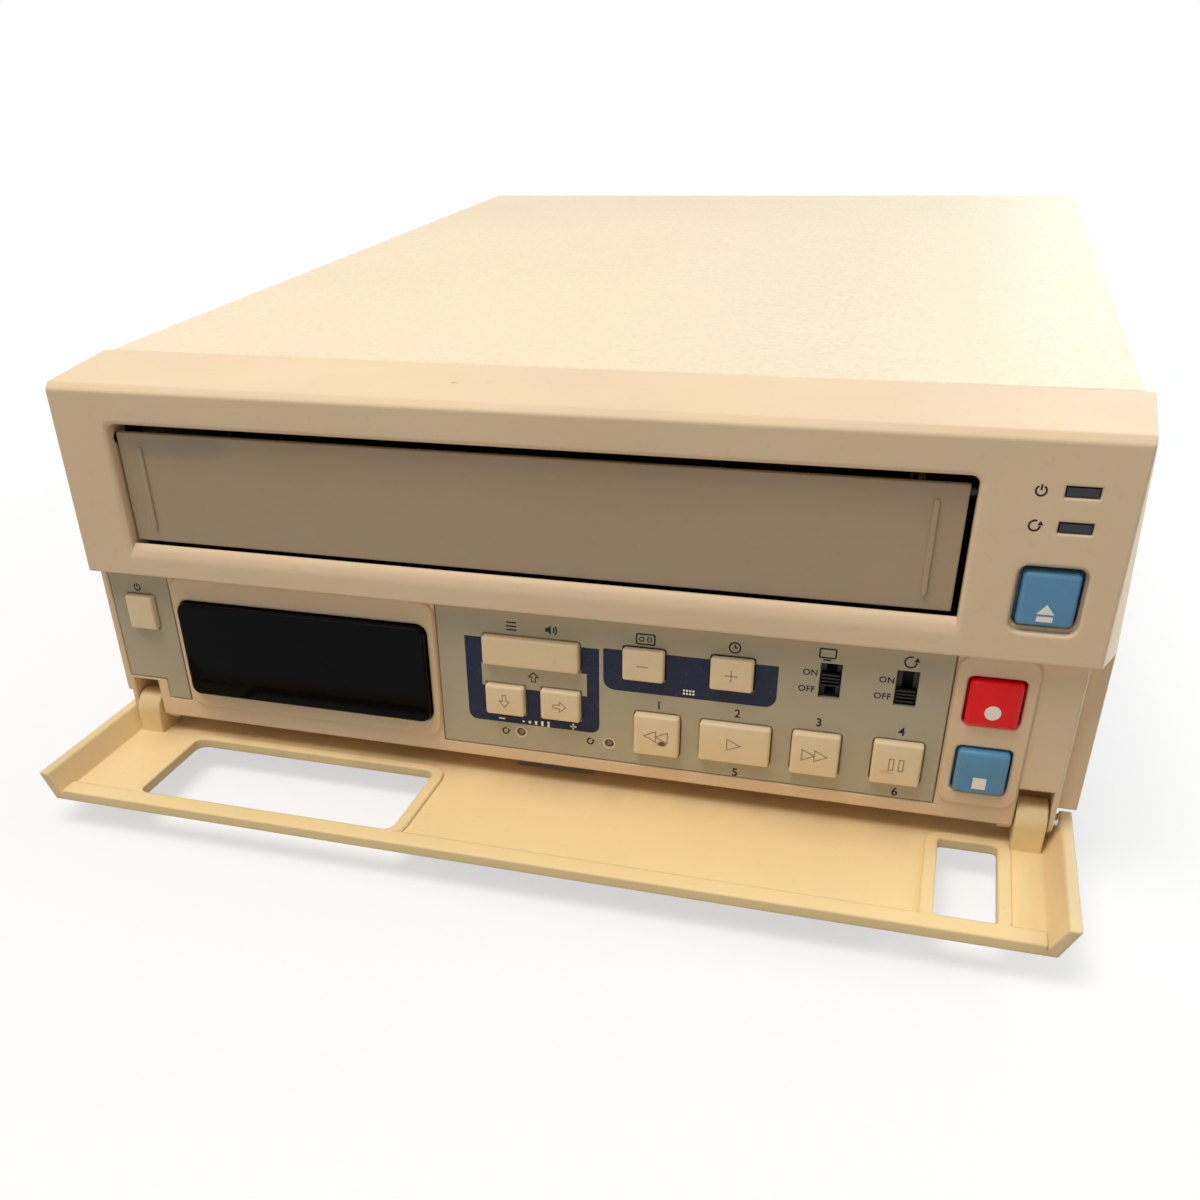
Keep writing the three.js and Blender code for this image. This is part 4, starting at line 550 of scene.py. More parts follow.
def rounded_block(work, low, high, front, back, corner, fillet):
    """A block in X and Z with round corners, whose front edge is a fillet."""
    rings = [rounded_ring(work, low, high, corner, back)]
    for step in range(FILLET_STEPS + 1):
        turn = math.pi / 2 * step / FILLET_STEPS
        inset = fillet * (1 - math.cos(turn))
        depth = front + fillet * (1 - math.sin(turn))
        inner_low = (low[0] + inset, low[1] + inset)
        inner_high = (high[0] - inset, high[1] - inset)
        rings.append(rounded_ring(work, inner_low, inner_high, max(corner - inset, corner / 4), depth))
    loft(work, rings)


def body_of(node):
    for body, members in frame["record"]["behaviour"]["bodies"].items():
        if node in members:
            return body
    raise KeyError(node)


def made_of(name, finish, node, build, degrees=35):
    """A piece on a node's body, shaded smoothly apart from edges sharper than an angle."""
    piece = add_piece(name, mesh_from(name, build), body_of(node), finish)
    piece.data.shade_smooth()
    piece.data.set_sharp_from_angle(angle=math.radians(degrees))
    return piece


def cap_box(node):
    """The visible cap inside a button's box, as its corners in X and Z and its front."""
    low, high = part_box(node)
    return (low.x + FLANGE_LIP, low.z + FLANGE_LIP), (high.x - FLANGE_LIP, high.z - FLANGE_LIP), low.y


def make_cap(node, finish):
    """A cap, its flange and its stem; the coloured caps are rounder than the beige ones."""
    fillet = CAP_FILLET if finish == "cap" else BOLD_FILLET
    low, high, front = cap_box(node)
    stem_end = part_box(node)[1].y
    flange_front = front + DEEP_FLANGES.get(node, FLANGE_DEPTH) + SEAT_GAP
    middle = ((low[0] + high[0]) / 2, (low[1] + high[1]) / 2)

    def grown(corner, by):
        return corner[0] + by, corner[1] + by

    def build(work):
        flange_back = flange_front + FLANGE_THICKNESS
        rounded_block(work, low, high, front, flange_front, max(CAP_CORNER, fillet), fillet)
        rounded_block(work, grown(low, -FLANGE_LIP), grown(high, FLANGE_LIP), flange_front, flange_back,
                      CAP_CORNER, FINE_EDGE_RADIUS)
        rounded_block(work, grown(middle, -STEM_HALF), grown(middle, STEM_HALF), flange_back, stem_end,
                      FINE_EDGE_RADIUS, FINE_EDGE_RADIUS)

    piece = made_of(node + "_cap", finish, node, build)
    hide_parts(node)


def make_caps():
    for node, finish in NODE_FINISHES.items():
        if finish in ("cap", "red_cap", "blue_cap"):
            make_cap(node, finish)


# The mouldings and sheets are shown with real rounded edges, cut from the CAD shapes

SHARP_COSINE = math.cos(math.radians(38))
JOINED_COSINE = math.cos(math.radians(50))
WELD = 0.004 * MM
OUTSIDE_SLACK = 0.01 * MM
CROSSING_SLACK = 0.00001
SHORTEST_EASED = 0.12 * MM
KEEP_OUT_SHARE = 1.6
EASE_TRIES = 8
MOST_TWICE = 60 * MM ** 2


def keeps_flat(mesh):
    """Shades rounded edges smoothly while the faces beside them stay flat."""
    faces = [[] for _ in mesh.vertices]
    for face in mesh.polygons:
        for index in face.vertices:
            faces[index].append((face.normal.copy(), face.area))
    normals = []
    for face in mesh.polygons:
        for index in face.vertices:
            total = Vector((0, 0, 0))
            for normal, area in faces[index]:
                if normal.dot(face.normal) > JOINED_COSINE:
                    total += normal * area
            normals.append(total.normalized() if total.length else face.normal)
    mesh.shade_smooth()
    mesh.normals_split_custom_set(normals)


def turns(a, b, c):
    """On which side of the lines from a to b the points c lie, for arrays of flat points."""
    ahead, aside = b - a, c - a
    return ahead[..., 0] * aside[..., 1] - ahead[..., 1] * aside[..., 0]


def outline_faults(mesh):
    """Where outlines of faces cross themselves, and the area that their triangles cover twice."""
    places = []
    corners = np.array([vertex.co for vertex in mesh.vertices])
    for face in mesh.polygons:
        loop = corners[list(face.vertices)]
        plane = [axis for axis in range(3) if axis != int(np.argmax(np.abs(face.normal)))]
        flat = loop[:, plane] / MM
        following = np.roll(flat, -1, axis=0)
        a, b, c, d = flat[:, None], following[:, None], flat[None], following[None]
        past_c, past_d, past_a, past_b = turns(a, b, c), turns(a, b, d), turns(c, d, a), turns(c, d, b)
        crossed = (past_c * past_d < 0) & (past_a * past_b < 0)
        for side in (past_c, past_d, past_a, past_b):
            crossed &= abs(side) > CROSSING_SLACK
        for first, second in zip(*np.nonzero(np.triu(crossed, 1))):
            share = past_a[first, second] / (past_a[first, second] - past_b[first, second])
            start, end = loop[first], loop[(first + 1) % len(loop)]
            places.append(Vector(start + (end - start) * share))
    mesh.calc_loop_triangles()
    covered = [0.0] * len(mesh.polygons)
    for part in mesh.loop_triangles:
        covered[part.polygon_index] += part.area
    twice = sum(max(0, covered[face.index] - face.area) for face in mesh.polygons)
    return places, twice


def rounded_off(node, width, chosen, kept_out):
    """A copy of a node's mesh with its outward edges rounded, apart from those beside some places."""
    work = bmesh.new()
    work.from_mesh(NODES[node].data)
    bmesh.ops.remove_doubles(work, verts=work.verts, dist=WELD)
    bmesh.ops.dissolve_limit(work, angle_limit=math.radians(1), verts=work.verts, edges=work.edges)
    bmesh.ops.recalc_face_normals(work, faces=work.faces)
    edges = []
    for edge in work.edges:
        if len(edge.link_faces) != 2 or not edge.is_convex or not chosen(edge):
            continue
        first, second = edge.link_faces
        start, end = [vertex.co for vertex in edge.verts]
        beside = False
        for place in kept_out:
            share = intersect_point_line(place, start, end)[1]
            nearest = start.lerp(end, min(1, max(0, share)))
            beside = beside or (nearest - place).length < KEEP_OUT_SHARE * width
        long_enough = edge.calc_length() >= SHORTEST_EASED
        if long_enough and not beside and first.normal.dot(second.normal) < SHARP_COSINE:
            edges.append(edge)
    bmesh.ops.bevel(work, geom=edges, offset=width, offset_type="OFFSET", segments=2, profile=0.5,
                    affect="EDGES", clamp_overlap=False, loop_slide=False)
    bmesh.ops.recalc_face_normals(work, faces=work.faces)
    mesh = bpy.data.meshes.new(node + "_shell")
    work.to_mesh(mesh)
    work.free()
    return mesh


def is_sound(mesh, node, twice):
    """Tests that a rounded copy stays in its node's box and hardly overlaps itself."""
    low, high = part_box(node)
    inside = all(low[axis] - WELD < vertex.co[axis] < high[axis] + WELD
                 for vertex in mesh.vertices for axis in range(3))
    return inside and twice < MOST_TWICE


def eased(node, width, chosen):
    """Shows a copy of a CAD node with rounded edges in the node's place, if the rounding works out."""
    kept_out, best, least = [], None, None
    for _ in range(EASE_TRIES):
        mesh = rounded_off(node, width, chosen, kept_out)
        places, twice = outline_faults(mesh)
        if least is None or twice < least:
            best, least = mesh, twice
        if not places:
            break
        kept_out += places
    if not is_sound(best, node, least):
        return
    keeps_flat(best)
    piece = add_piece(node + "_shell", best, body_of(node), NODE_FINISHES[node])
    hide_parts(node)


def on_outside(node):
    """Tests whether an edge lies in two of the outer planes of a node's box."""
    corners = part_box(node)

    def test(edge):
        planes = [all(abs(vertex.co[axis] - corner[axis]) < OUTSIDE_SLACK for vertex in edge.verts)
                  for axis in range(3) for corner in corners]
        return sum(planes) >= 2

    return test


# The rounding of each node's outward edges, in millimetres
EASED = {
    "front_bezel": 0.45, "front_door": 0.36, "cassette_flap": 0.3, "control_plate": 0.15, "power_plate": 0.15,
    "display_window": 0.3, "top_cover": 0.7, "mains_inlet": 0.4, "terminal_block": 0.3, "jack_block": 0.25,
    "foot_front_left": 1.2, "foot_front_right": 1.2, "foot_rear_left": 1.2, "foot_rear_right": 1.2,
}


def ease_shells():
    """Rounds the nodes of the table: the sheet of the cover only along its outside."""
    for node, width in EASED.items():
        eased(node, width * MM, on_outside(node) if node == "top_cover" else lambda edge: True)


# Dark strips behind the seam between the front moulding and the cover: painted shade, a black sheet where the
# unlit inside of the machine shows through the seam

SEAM_SHADE_THICKNESS = 0.4 * MM
SEAM_SHADE_INSET = 1.1 * MM
SEAM_SHADE_REACH = 5 * MM
SEAM_SHADE_ENDS = (32 * MM, CROWN - 4.5 * MM)


def block(work, low, high):
    size = [top - bottom for bottom, top in zip(low, high)]
    middle = [(top + bottom) / 2 for bottom, top in zip(low, high)]
    bmesh.ops.create_cube(work, size=1, matrix=Matrix.Translation(middle) @ Matrix.Diagonal((*size, 1)))


def make_seam_shade():
    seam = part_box("front_bezel")[1].y
    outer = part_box("top_cover")[1].x - SEAM_SHADE_INSET

    def build(work):
        for left in (-outer, outer - SEAM_SHADE_THICKNESS):
            block(work, (left, seam - SEAM_SHADE_REACH, SEAM_SHADE_ENDS[0]),
                  (left + SEAM_SHADE_THICKNESS, seam + SEAM_SHADE_REACH, SEAM_SHADE_ENDS[1]))

    add_piece("seam_shade_strips", mesh_from("seam_shade_strips", build), body_of("top_cover"), "black_plastic")


# A dust screen inside the slots of the rear panel

SCREEN_LOW = (-45, -0.9, 72)
SCREEN_HIGH = (45, -0.5, 107)


def make_dust_screen():
    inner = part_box("rear_panel")[0].y

    def placed(corner):
        return corner[0] * MM, inner + corner[1] * MM, corner[2] * MM

    made_of("dust_screen", "black_plastic", "rear_panel",
            lambda work: block(work, placed(SCREEN_LOW), placed(SCREEN_HIGH)))


# Screws, and what makes the sockets at the back whole

ROUND_STEPS = 24
SCREW_RADIUS = 3 * MM
SMALL_SCREW_RADIUS = 1.7 * MM
SCREW_RISE = 0.45
SCREW_CROWN = 0.72
CROSS_ARM = 0.5
CROSS_HALF_WIDTH = 0.13
CROSS_DEPTH = 0.8
SIDE_SCREWS_Y = (-95 * MM, 172 * MM)
SIDE_SCREWS_Z = 24 * MM
PANEL_SCREWS = ((-124, 22), (124, 22), (-124, 106), (-62, 106), (124, 106))
PLATE_SCREW_INSET = 3.3 * MM
PLATE_THICKNESS = 2.3 * MM
TERMINAL_WAYS = 8


def ring_round(work, place, right, up, radius):
    ring = []
    for step in range(ROUND_STEPS):
        turn = 2 * math.pi * step / ROUND_STEPS
        ring.append(work.verts.new(place + (right * math.cos(turn) + up * math.sin(turn)) * radius))
    return ring


def screw(work, place, out, radius, turn):
    """A pan head with a real cross recess, standing on a face."""
    place, out = Vector(place), Vector(out)
    up = Vector((0, 1, 0)) if out.z else Vector((0, 0, 1))
    right = up.cross(out)
    height = radius * SCREW_RISE
    base = ring_round(work, place, right, up, radius)
    shoulder = ring_round(work, place + out * height * 0.5, right, up, radius)
    crown = ring_round(work, place + out * height, right, up, radius * SCREW_CROWN)
    arm, half = radius * CROSS_ARM, radius * CROSS_HALF_WIDTH
    quarter = ((arm, -half), (arm, half), (half, half))
    cross = []
    for step in range(4):
        angle = turn + math.pi / 2 * step
        cos, sin = math.cos(angle), math.sin(angle)
        cross += [(x * cos - y * sin, x * sin + y * cos) for x, y in quarter]
    rim = [work.verts.new(place + out * height + right * x + up * y) for x, y in cross]
    floor = [work.verts.new(vertex.co - out * height * CROSS_DEPTH) for vertex in rim]
    bridge(work, base, shoulder)
    bridge(work, shoulder, crown)
    bridge(work, rim, floor)
    corners = crown + rim
    outlines = [[vertex.co for vertex in crown], [vertex.co for vertex in rim]]
    for corner in tessellate_polygon(outlines):
        work.faces.new([corners[index] for index in corner])
    work.faces.new(floor)
    work.faces.new(base)


def make_screws():
    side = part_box("top_cover")[1].x
    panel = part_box("rear_panel")[1].y
    plate_low, plate_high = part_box("jack_block")
    block_low, block_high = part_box("terminal_block")
    pitch = (block_high.x - block_low.x) / TERMINAL_WAYS

    def on_cover(work):
        for way in (-1, 1):
            for index, y in enumerate(SIDE_SCREWS_Y):
                screw(work, (way * side, y, SIDE_SCREWS_Z), (way, 0, 0), SCREW_RADIUS, 0.4 + index)

    def on_panel(work):
        for index, (x, z) in enumerate(PANEL_SCREWS):
            screw(work, (x * MM, panel, z * MM), (0, 1, 0), SCREW_RADIUS, 0.7 * index)
        middle = (plate_low.z + plate_high.z) / 2
        for index, x in enumerate((plate_low.x + PLATE_SCREW_INSET, plate_high.x - PLATE_SCREW_INSET)):
            screw(work, (x, panel + PLATE_THICKNESS, middle), (0, 1, 0), SMALL_SCREW_RADIUS, 0.5 + index)
        for way in range(TERMINAL_WAYS):
            place = (block_low.x + (way + 0.5) * pitch, (panel + block_high.y) / 2, block_high.z)
            screw(work, place, (0, 0, 1), SMALL_SCREW_RADIUS, 0.3 * way)

    made_of("cover_screws", "bright_steel", "top_cover", on_cover)
    made_of("panel_screws", "bright_steel", "rear_panel", on_panel)


# Where the ringed jacks and the inlet's pins stand from the middle of their box
JACK_COLUMNS = {"yellow_ring": (-27, -9), "white_plastic": (9,), "red_cap": (27,)}
JACK_ROWS = (-8, 8)
JACK_RING_LIFT = 0.03 * MM
PIN_COLUMNS = (-4.3, 4.3)

# Round shapes, as depths and radii
JACK_RING = ((1, 3.3), (0, 3.3), (0, 1.75), (1, 1.75))
INLET_PIN = ((14, 1.3), (6.2, 1.3), (5.7, 0.8))


def rings_behind(work, place, profile):
    """Rings of vertices behind a place, from their depths and radii in millimetres."""
    right, up = Vector((1, 0, 0)), Vector((0, 0, 1))
    return [ring_round(work, place - Vector((0, depth * MM, 0)), right, up, radius * MM)
            for depth, radius in profile]


def back_middle(node):
    low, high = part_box(node)
    return Vector(((low.x + high.x) / 2, high.y, (low.z + high.z) / 2))


def make_jack_rings():
    """Coloured rings in the ends of the jacks."""
    middle = back_middle("jack_block") + Vector((0, JACK_RING_LIFT, 0))
    for finish, columns in JACK_COLUMNS.items():

        def build(work):
            for x in columns:
                for z in JACK_ROWS:
                    rings = rings_behind(work, middle + Vector((x, 0, z)) * MM, JACK_RING)
                    for first, second in zip(rings, rings[1:] + rings[:1]):
                        bridge(work, first, second)

        made_of("jack_" + finish, finish, "jack_block", build)


def make_inlet_pins():
    """Bright sleeves over the two pins of the mains inlet."""
    middle = back_middle("mains_inlet")

    def build(work):
        for x in PIN_COLUMNS:
            loft(work, rings_behind(work, middle + Vector((x, 0, 0)) * MM, INLET_PIN))

    made_of("inlet_pins", "bright_steel", "mains_inlet", build)


# Marks: thin shapes laid on a face that looks along -Y

MARK_LIFT = 0.03 * MM
LINE_WIDTH = 0.42
FINE_LINE = 0.29
SHARPEST_MITRE = 0.35
FONT_CAP_SHARE = 0.7
FONT_WEIGHT = 0.025
FONT_SPACING = 1.08


def arc(x, z, radius, start, end, steps=24):
    """Points on an arc between two angles in degrees."""
    angles = [math.radians(start + (end - start) * step / steps) for step in range(steps + 1)]
    return [(x + radius * math.cos(angle), z + radius * math.sin(angle)) for angle in angles]


def ring_points(x, z, radius):
    return arc(x, z, radius, 0, 360, 28)[:-1]


def oblong(x, z, half_width, half_height):
    left, right, low, high = x - half_width, x + half_width, z - half_height, z + half_height
    return [(left, low), (right, low), (right, high), (left, high)]


def bounds_of(points):
    """The left, right, low and high of some points."""
    across, up = zip(*points)
    return min(across), max(across), min(up), max(up)


def rounded_outline(left, right, low, high, radii, steps=6):
    """A rectangle's outline, its corners rounded from low left round by low right."""
    low_left, low_right, high_right, high_left = radii
    return (
        arc(left + low_left, low + low_left, low_left, 180, 270, steps)
        + arc(right - low_right, low + low_right, low_right, 270, 360, steps)
        + arc(right - high_right, high - high_right, high_right, 0, 90, steps)
        + arc(left + high_left, high - high_left, high_left, 90, 180, steps)
    )


class Mark:
    """Collects flat shapes, in millimetres from a middle point, on one face."""

    def __init__(self, name, middle, front, body, finish, lift=MARK_LIFT):
        self.name = name
        self.middle = middle
        self.depth = front - lift
        self.body = body
        self.finish = finish
        self.work = bmesh.new()

    def point(self, x, z):
        return self.work.verts.new((self.middle[0] + x * MM, self.depth, self.middle[1] + z * MM))

    def fill(self, points):
        self.work.faces.new([self.point(x, z) for x, z in points])

    def sheet(self, outline, holes=()):
        """A filled outline with holes in it."""
        loops = [[Vector((x, z, 0)) for x, z in loop] for loop in (outline, *holes)]
        points = [self.point(place.x, place.y) for loop in loops for place in loop]
        for corners in tessellate_polygon(loops):
            self.work.faces.new([points[corner] for corner in corners])

    def line(self, points, closed=False, width=LINE_WIDTH):
        """A ribbon along a line of points, with mitred corners."""
        places = [Vector(place) for place in points]
        count = len(places)
        sides = []
        for index, place in enumerate(places):
            before = places[index - 1] if closed or index else None
            after = places[(index + 1) % count] if closed or index < count - 1 else None
            spans = ((before, place), (place, after))
            ways = [(b - a).normalized() for a, b in spans if a is not None and b is not None]
            across = [Vector((-way.y, way.x)) for way in ways]
            mitre = sum(across, Vector((0, 0))).normalized()
            reach = mitre * (width / 2 / max(SHARPEST_MITRE, mitre.dot(across[0])))
            sides.append((self.point(*(place + reach)), self.point(*(place - reach))))
        for index in range(count if closed else count - 1):
            (a, b), (c, d) = sides[index], sides[(index + 1) % count]
            self.work.faces.new((a, c, d, b))

    def sign(self, name, x=0, z=0, size=1):
        """One of the plain signs round a point, in a size."""
        for style, points in SIGNS[name]:
            points = [(x + size * across, z + size * up) for across, up in points]
            if style == FILL:
                self.fill(points)
            else:
                self.line(points, *style)

    def words(self, text, x, z, height):
        """Plain lettering of a cap height, centred on a point."""
        curve = bpy.data.curves.new(self.name, "FONT")
        curve.body = text
        curve.size = height / FONT_CAP_SHARE
        curve.space_character = FONT_SPACING
        curve.offset = height * FONT_WEIGHT
        curve.align_x = "CENTER"
        source = linked(self.name, curve)
        bpy.context.view_layer.update()
        evaluated = source.evaluated_get(bpy.context.evaluated_depsgraph_get())
        outlines = bpy.data.meshes.new_from_object(evaluated)
        points = [self.point(x + vertex.co.x, z + vertex.co.y - height / 2) for vertex in outlines.vertices]
        for face in outlines.polygons:
            self.work.faces.new([points[index] for index in face.vertices])
        bpy.data.objects.remove(source)
        bpy.data.curves.remove(curve)
        bpy.data.meshes.remove(outlines)

    def finished(self):
        bmesh.ops.remove_doubles(self.work, verts=self.work.verts, dist=0.001 * MM)
        for face in self.work.faces:
            face.normal_update()
            if face.normal.y > 0:
                face.normal_flip()
        mesh = bpy.data.meshes.new(self.name)
        self.work.to_mesh(mesh)
        self.work.free()
        add_piece(self.name, mesh, self.body, self.finish)


# Plain signs, each a list of styles and points in millimetres, or in units of a size. A style is whether
# a line is closed, and its width

FILL = "fill"
STROKE = (False, LINE_WIDTH)
THIN = (False, 0.3)
BAR = (False, 0.7)
OUTLINE = (True, LINE_WIDTH)
FINE = (True, FINE_LINE)
SIGN_SIZE = 1.4
SIGN_CORNERS = (0.3 / SIGN_SIZE,) * 4
GRID_SIZE = 0.75
GRID_CORNERS = (0.1 / GRID_SIZE,) * 4


def triangle(x, size, height, way=1):
    return [(x - way * size / 2, -height / 2), (x + way * size / 2, 0), (x - way * size / 2, height / 2)]


ARROW = ((-0.5, 1.8), (-0.5, 0), (-1.5, 0), (0, -1.8), (1.5, 0), (0.5, 0), (0.5, 1.8))
SIGNS = {
    "play": [(FINE, triangle(0, 3.6, 3.2))],
    "rewind": [(FINE, triangle(x, 3.2, 3.2, -1)) for x in (-1.6, 1.6)],
    "forward": [(FINE, triangle(x, 3.2, 3.2)) for x in (-1.6, 1.6)],
    "pause": [(FINE, oblong(x, 0, 0.55, 1.6)) for x in (-1.2, 1.2)],
    "down": [(FINE, ARROW)],
    "right": [(FINE, [(-z, x) for x, z in ARROW])],
    "minus": [(THIN, [(-1.5, 0), (1.5, 0)])],
    "plus": [(THIN, [(-1.6, 0), (1.6, 0)]), (THIN, [(0, -1.6), (0, 1.6)])],
    "record": [(FILL, ring_points(0, -1.9, 1.9))],
    "stop": [(FILL, oblong(0, -2.8, 1.6, 1.6))],
    "eject": [(FILL, [(-1.95, -3.3), (1.95, -3.3), (0, -0.9)]), (FILL, oblong(0, -4.45, 1.75, 0.65))],
    "power": [(STROKE, arc(0, 0, 1, 120, 420)), (STROKE, [(0, 0.1), (0, 1.25)])],
    "loop": [(STROKE, arc(0, 0, 1, 70, 360)), (FILL, [(0.45, 0.1), (1.55, 0.1), (1, 1)])],
    "clock": [(OUTLINE, ring_points(0, 0, 1)), (STROKE, [(0, 0.65), (0, 0), (0.5, 0)])],
    "screen": [(OUTLINE, rounded_outline(-1.4, 1.4, -0.7, 1, SIGN_CORNERS, 3)),
               (STROKE, [(-0.7, -1.15), (0.7, -1.15)])],
    "tape": [(OUTLINE, rounded_outline(-1.7, 1.7, -1, 1, SIGN_CORNERS, 3)),
             (FINE, ring_points(-0.75, 0, 0.42)), (FINE, ring_points(0.75, 0, 0.42))],
    "list": [(STROKE, [(-1, z), (1, z)]) for z in (-0.75, 0, 0.75)],
    "sound": [(FILL, [(-1, -0.4), (-0.45, -0.4), (0.15, -1), (0.15, 1), (-0.45, 0.4), (-1, 0.4)]),
              (STROKE, arc(0, 0, 0.75, -40, 40, 8)), (STROKE, arc(0, 0, 1.25, -40, 40, 8))],
    "shift": [(FINE, [(-0.4, -1), (0.4, -1), (0.4, 0), (1, 0), (0, 1), (-1, 0), (-0.4, 0)])],
    "grid": [(FILL, rounded_outline(x - 0.38, x + 0.38, z - 0.38, z + 0.38, GRID_CORNERS, 2))
             for z in (-0.6, 0.6) for x in (-1.65, -0.55, 0.55, 1.65)],
    "search": [(STROKE, [(-13.4, -85.1), (-11.6, -85.1)]), (STROKE, [(7.2, -85.0), (9.0, -85.0)]),
               (STROKE, [(8.1, -85.9), (8.1, -84.1)])]
    + [(BAR, [(-6.2 + step * 1.8, -85.55 - step * 0.16), (-6.2 + step * 1.8, -85.05 + step * 0.16)])
       for step in range(5)],
}
ENGRAVED_KEYS = ("play", "rewind", "forward", "pause", "down", "right", "minus", "plus")
WHITE_KEYS = ("record", "stop", "eject")


def make_cap_marks():
    for sign in ENGRAVED_KEYS + WHITE_KEYS:
        node = sign + "_button"
        low, high, front = cap_box(node)
        middle = ((low[0] + high[0]) / 2, (low[1] + high[1]) / 2)
        # Signs cut into the caps get the painted groove shade, the others white print
        finish = "groove_shade" if sign in ENGRAVED_KEYS else "white_ink"
        mark = Mark(sign + "_sign", middle, front, body_of(node), finish)
        mark.sign(sign)
        mark.finished()


# Prints on the plates, placed in millimetres right of the middle and above the face's top

PRINT_CLEARANCE = 0.35
FIELD_LEFT, FIELD_RIGHT, FIELD_LOW, FIELD_TOP = -22.2, 15.5, -86.2, -60.9
FIELD_CORNER = 2.4
TAB_LEFT, TAB_RIGHT, TAB_LOW = -17.7, 12.1, -75.2
TAB_GAP = 0.05
DATA_FIELD = rounded_outline(16.6, 62.2, -72.3, -60.5, (3, 3, 0.3, 0.3))


def plate_mark(name, finish, lift=MARK_LIFT, node="control_plate"):
    return Mark(name, (0, FACE_TOP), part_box(node)[0].y, "machine", finish, lift)


def opening_round(node):
    """The outline of the plate's opening round a cap."""
    low, high, _ = cap_box(node)
    left, right = low[0] / MM - PRINT_CLEARANCE, high[0] / MM + PRINT_CLEARANCE
    bottom, top = (low[1] - FACE_TOP) / MM - PRINT_CLEARANCE, (high[1] - FACE_TOP) / MM + PRINT_CLEARANCE
    return rounded_outline(left, right, bottom, top, [CAP_CORNER / MM] * 4, 2)


def search_field():
    """The field's outline: down its left, along the bottom, up its right and round the menu key."""
    left, right, low, _ = bounds_of(opening_round("menu_button"))
    inner_low = FIELD_LOW + FIELD_CORNER
    outline = arc(FIELD_LEFT + FIELD_CORNER, inner_low, FIELD_CORNER, 180, 270, 6)
    outline += arc(FIELD_RIGHT - FIELD_CORNER, inner_low, FIELD_CORNER, 270, 360, 6)
    return outline + [(FIELD_RIGHT, FIELD_TOP), (right, FIELD_TOP), (right, low), (left, low),
                      (left, FIELD_TOP), (FIELD_LEFT, FIELD_TOP)]


def search_tab(keys):
    """The tab's outline, notched where two caps reach up into it."""
    points = [(TAB_LEFT, TAB_LOW)]
    for key in keys:
        left, right, _, top = bounds_of(key)
        points += [(left, TAB_LOW), (left, top), (right, top), (right, TAB_LOW)]
    high = bounds_of(opening_round("menu_button"))[2] - TAB_GAP
    return points + [(TAB_RIGHT, TAB_LOW), (TAB_RIGHT, high), (TAB_LEFT, high)]


def make_plate_prints():
    keys = [opening_round(node) for node in ("down_button", "right_button")]
    data_keys = [opening_round(node) for node in ("minus_button", "plus_button")]
    for name, finish, lift, outline, holes in (
        ("search_field", "navy_ink", MARK_LIFT, search_field(), keys),
        ("search_tab", "plate_ink", 2 * MARK_LIFT, search_tab(keys), ()),
        ("data_field", "navy_ink", MARK_LIFT, DATA_FIELD, data_keys),
    ):
        mark = plate_mark(name, finish, lift)
        mark.sheet(outline, holes)
        mark.finished()


WORD_HEIGHT = 1.6
SWITCH_WORDS = (("ON", 70.0, -61.1), ("OFF", 69.4, -65.7), ("ON", 88.5, -61.0), ("OFF", 87.9, -65.5))


def make_switch_words():
    words = plate_mark("switch_words", "dark_ink")
    for word in SWITCH_WORDS:
        words.words(*word, WORD_HEIGHT)
    words.finished()


# Signs and digits on the plates: what, and how far right and up

KEY_SIGNS = (
    ("list", -8.6, -56.9), ("sound", 2.2, -56.9), ("tape", 27.9, -56.8), ("clock", 50.9, -56.6),
    ("screen", 73.8, -55.8), ("loop", 93.5, -55.7),
)
DIGIT_HEIGHT = 2.3
KEY_DIGITS = (
    ("1", 31.8, -75.3), ("2", 52.6, -75.1), ("3", 73.4, -74.9), ("4", 93.8, -74.8),
    ("5", 52.9, -92.8), ("6", 94.2, -92.4),
)
RESET_LOOPS = ((-11.6, -88.95), (12.9, -88.9))
RIM_RADIUS = 1.55
RIM_WIDTH = 0.35
# Marks of signs alone, each with its finish, how many lifts it lies above which node, and its signs
SIGN_MARKS = (
    ("shift_sign", "dark_ink", 3, "control_plate", [("shift", -2.9, -71.3, SIGN_SIZE)]),
    ("field_signs", "white_ink", 2, "control_plate", [("grid", 39.6, -70.6, GRID_SIZE), ("search",)]),
    ("power_sign", "dark_ink", 1, "power_plate", [("power", -123.4, -56.6, 0.95)]),
    ("lamp_signs", "dark_ink", 1, "front_bezel",
     [("power", 114.6, -10.6, 1.1), ("loop", 114.6, -18.3, 1.15)]),
)


def make_signs():
    dark = plate_mark("control_signs", "dark_ink")
    for sign in KEY_SIGNS:
        dark.sign(*sign, SIGN_SIZE)
    for digit in KEY_DIGITS:
        dark.words(*digit, DIGIT_HEIGHT)
    for place in RESET_LOOPS:
        dark.sign("loop", *place, 0.85)
    dark.finished()
    for name, finish, lifts, node, signs in SIGN_MARKS:
        mark = plate_mark(name, finish, lifts * MARK_LIFT, node)
        for sign in signs:
            mark.sign(*sign)
        mark.finished()
    rims = plate_mark("reset_rims", "cap")
    for node in ("all_reset", "menu_reset"):
        middle = back_middle(node)
        rims.line(ring_points(middle.x / MM, (middle.z - FACE_TOP) / MM, RIM_RADIUS), True, RIM_WIDTH)
    rims.finished()


# Ridged knobs of the two slide switches

KNOB_RIDGES = 4
RIDGE_DEPTH = 0.5 * MM
KNOB_STEM_INSET = (1.4 * MM, 0.6 * MM)
KNOB_BODY_BACK = 2.2 * MM


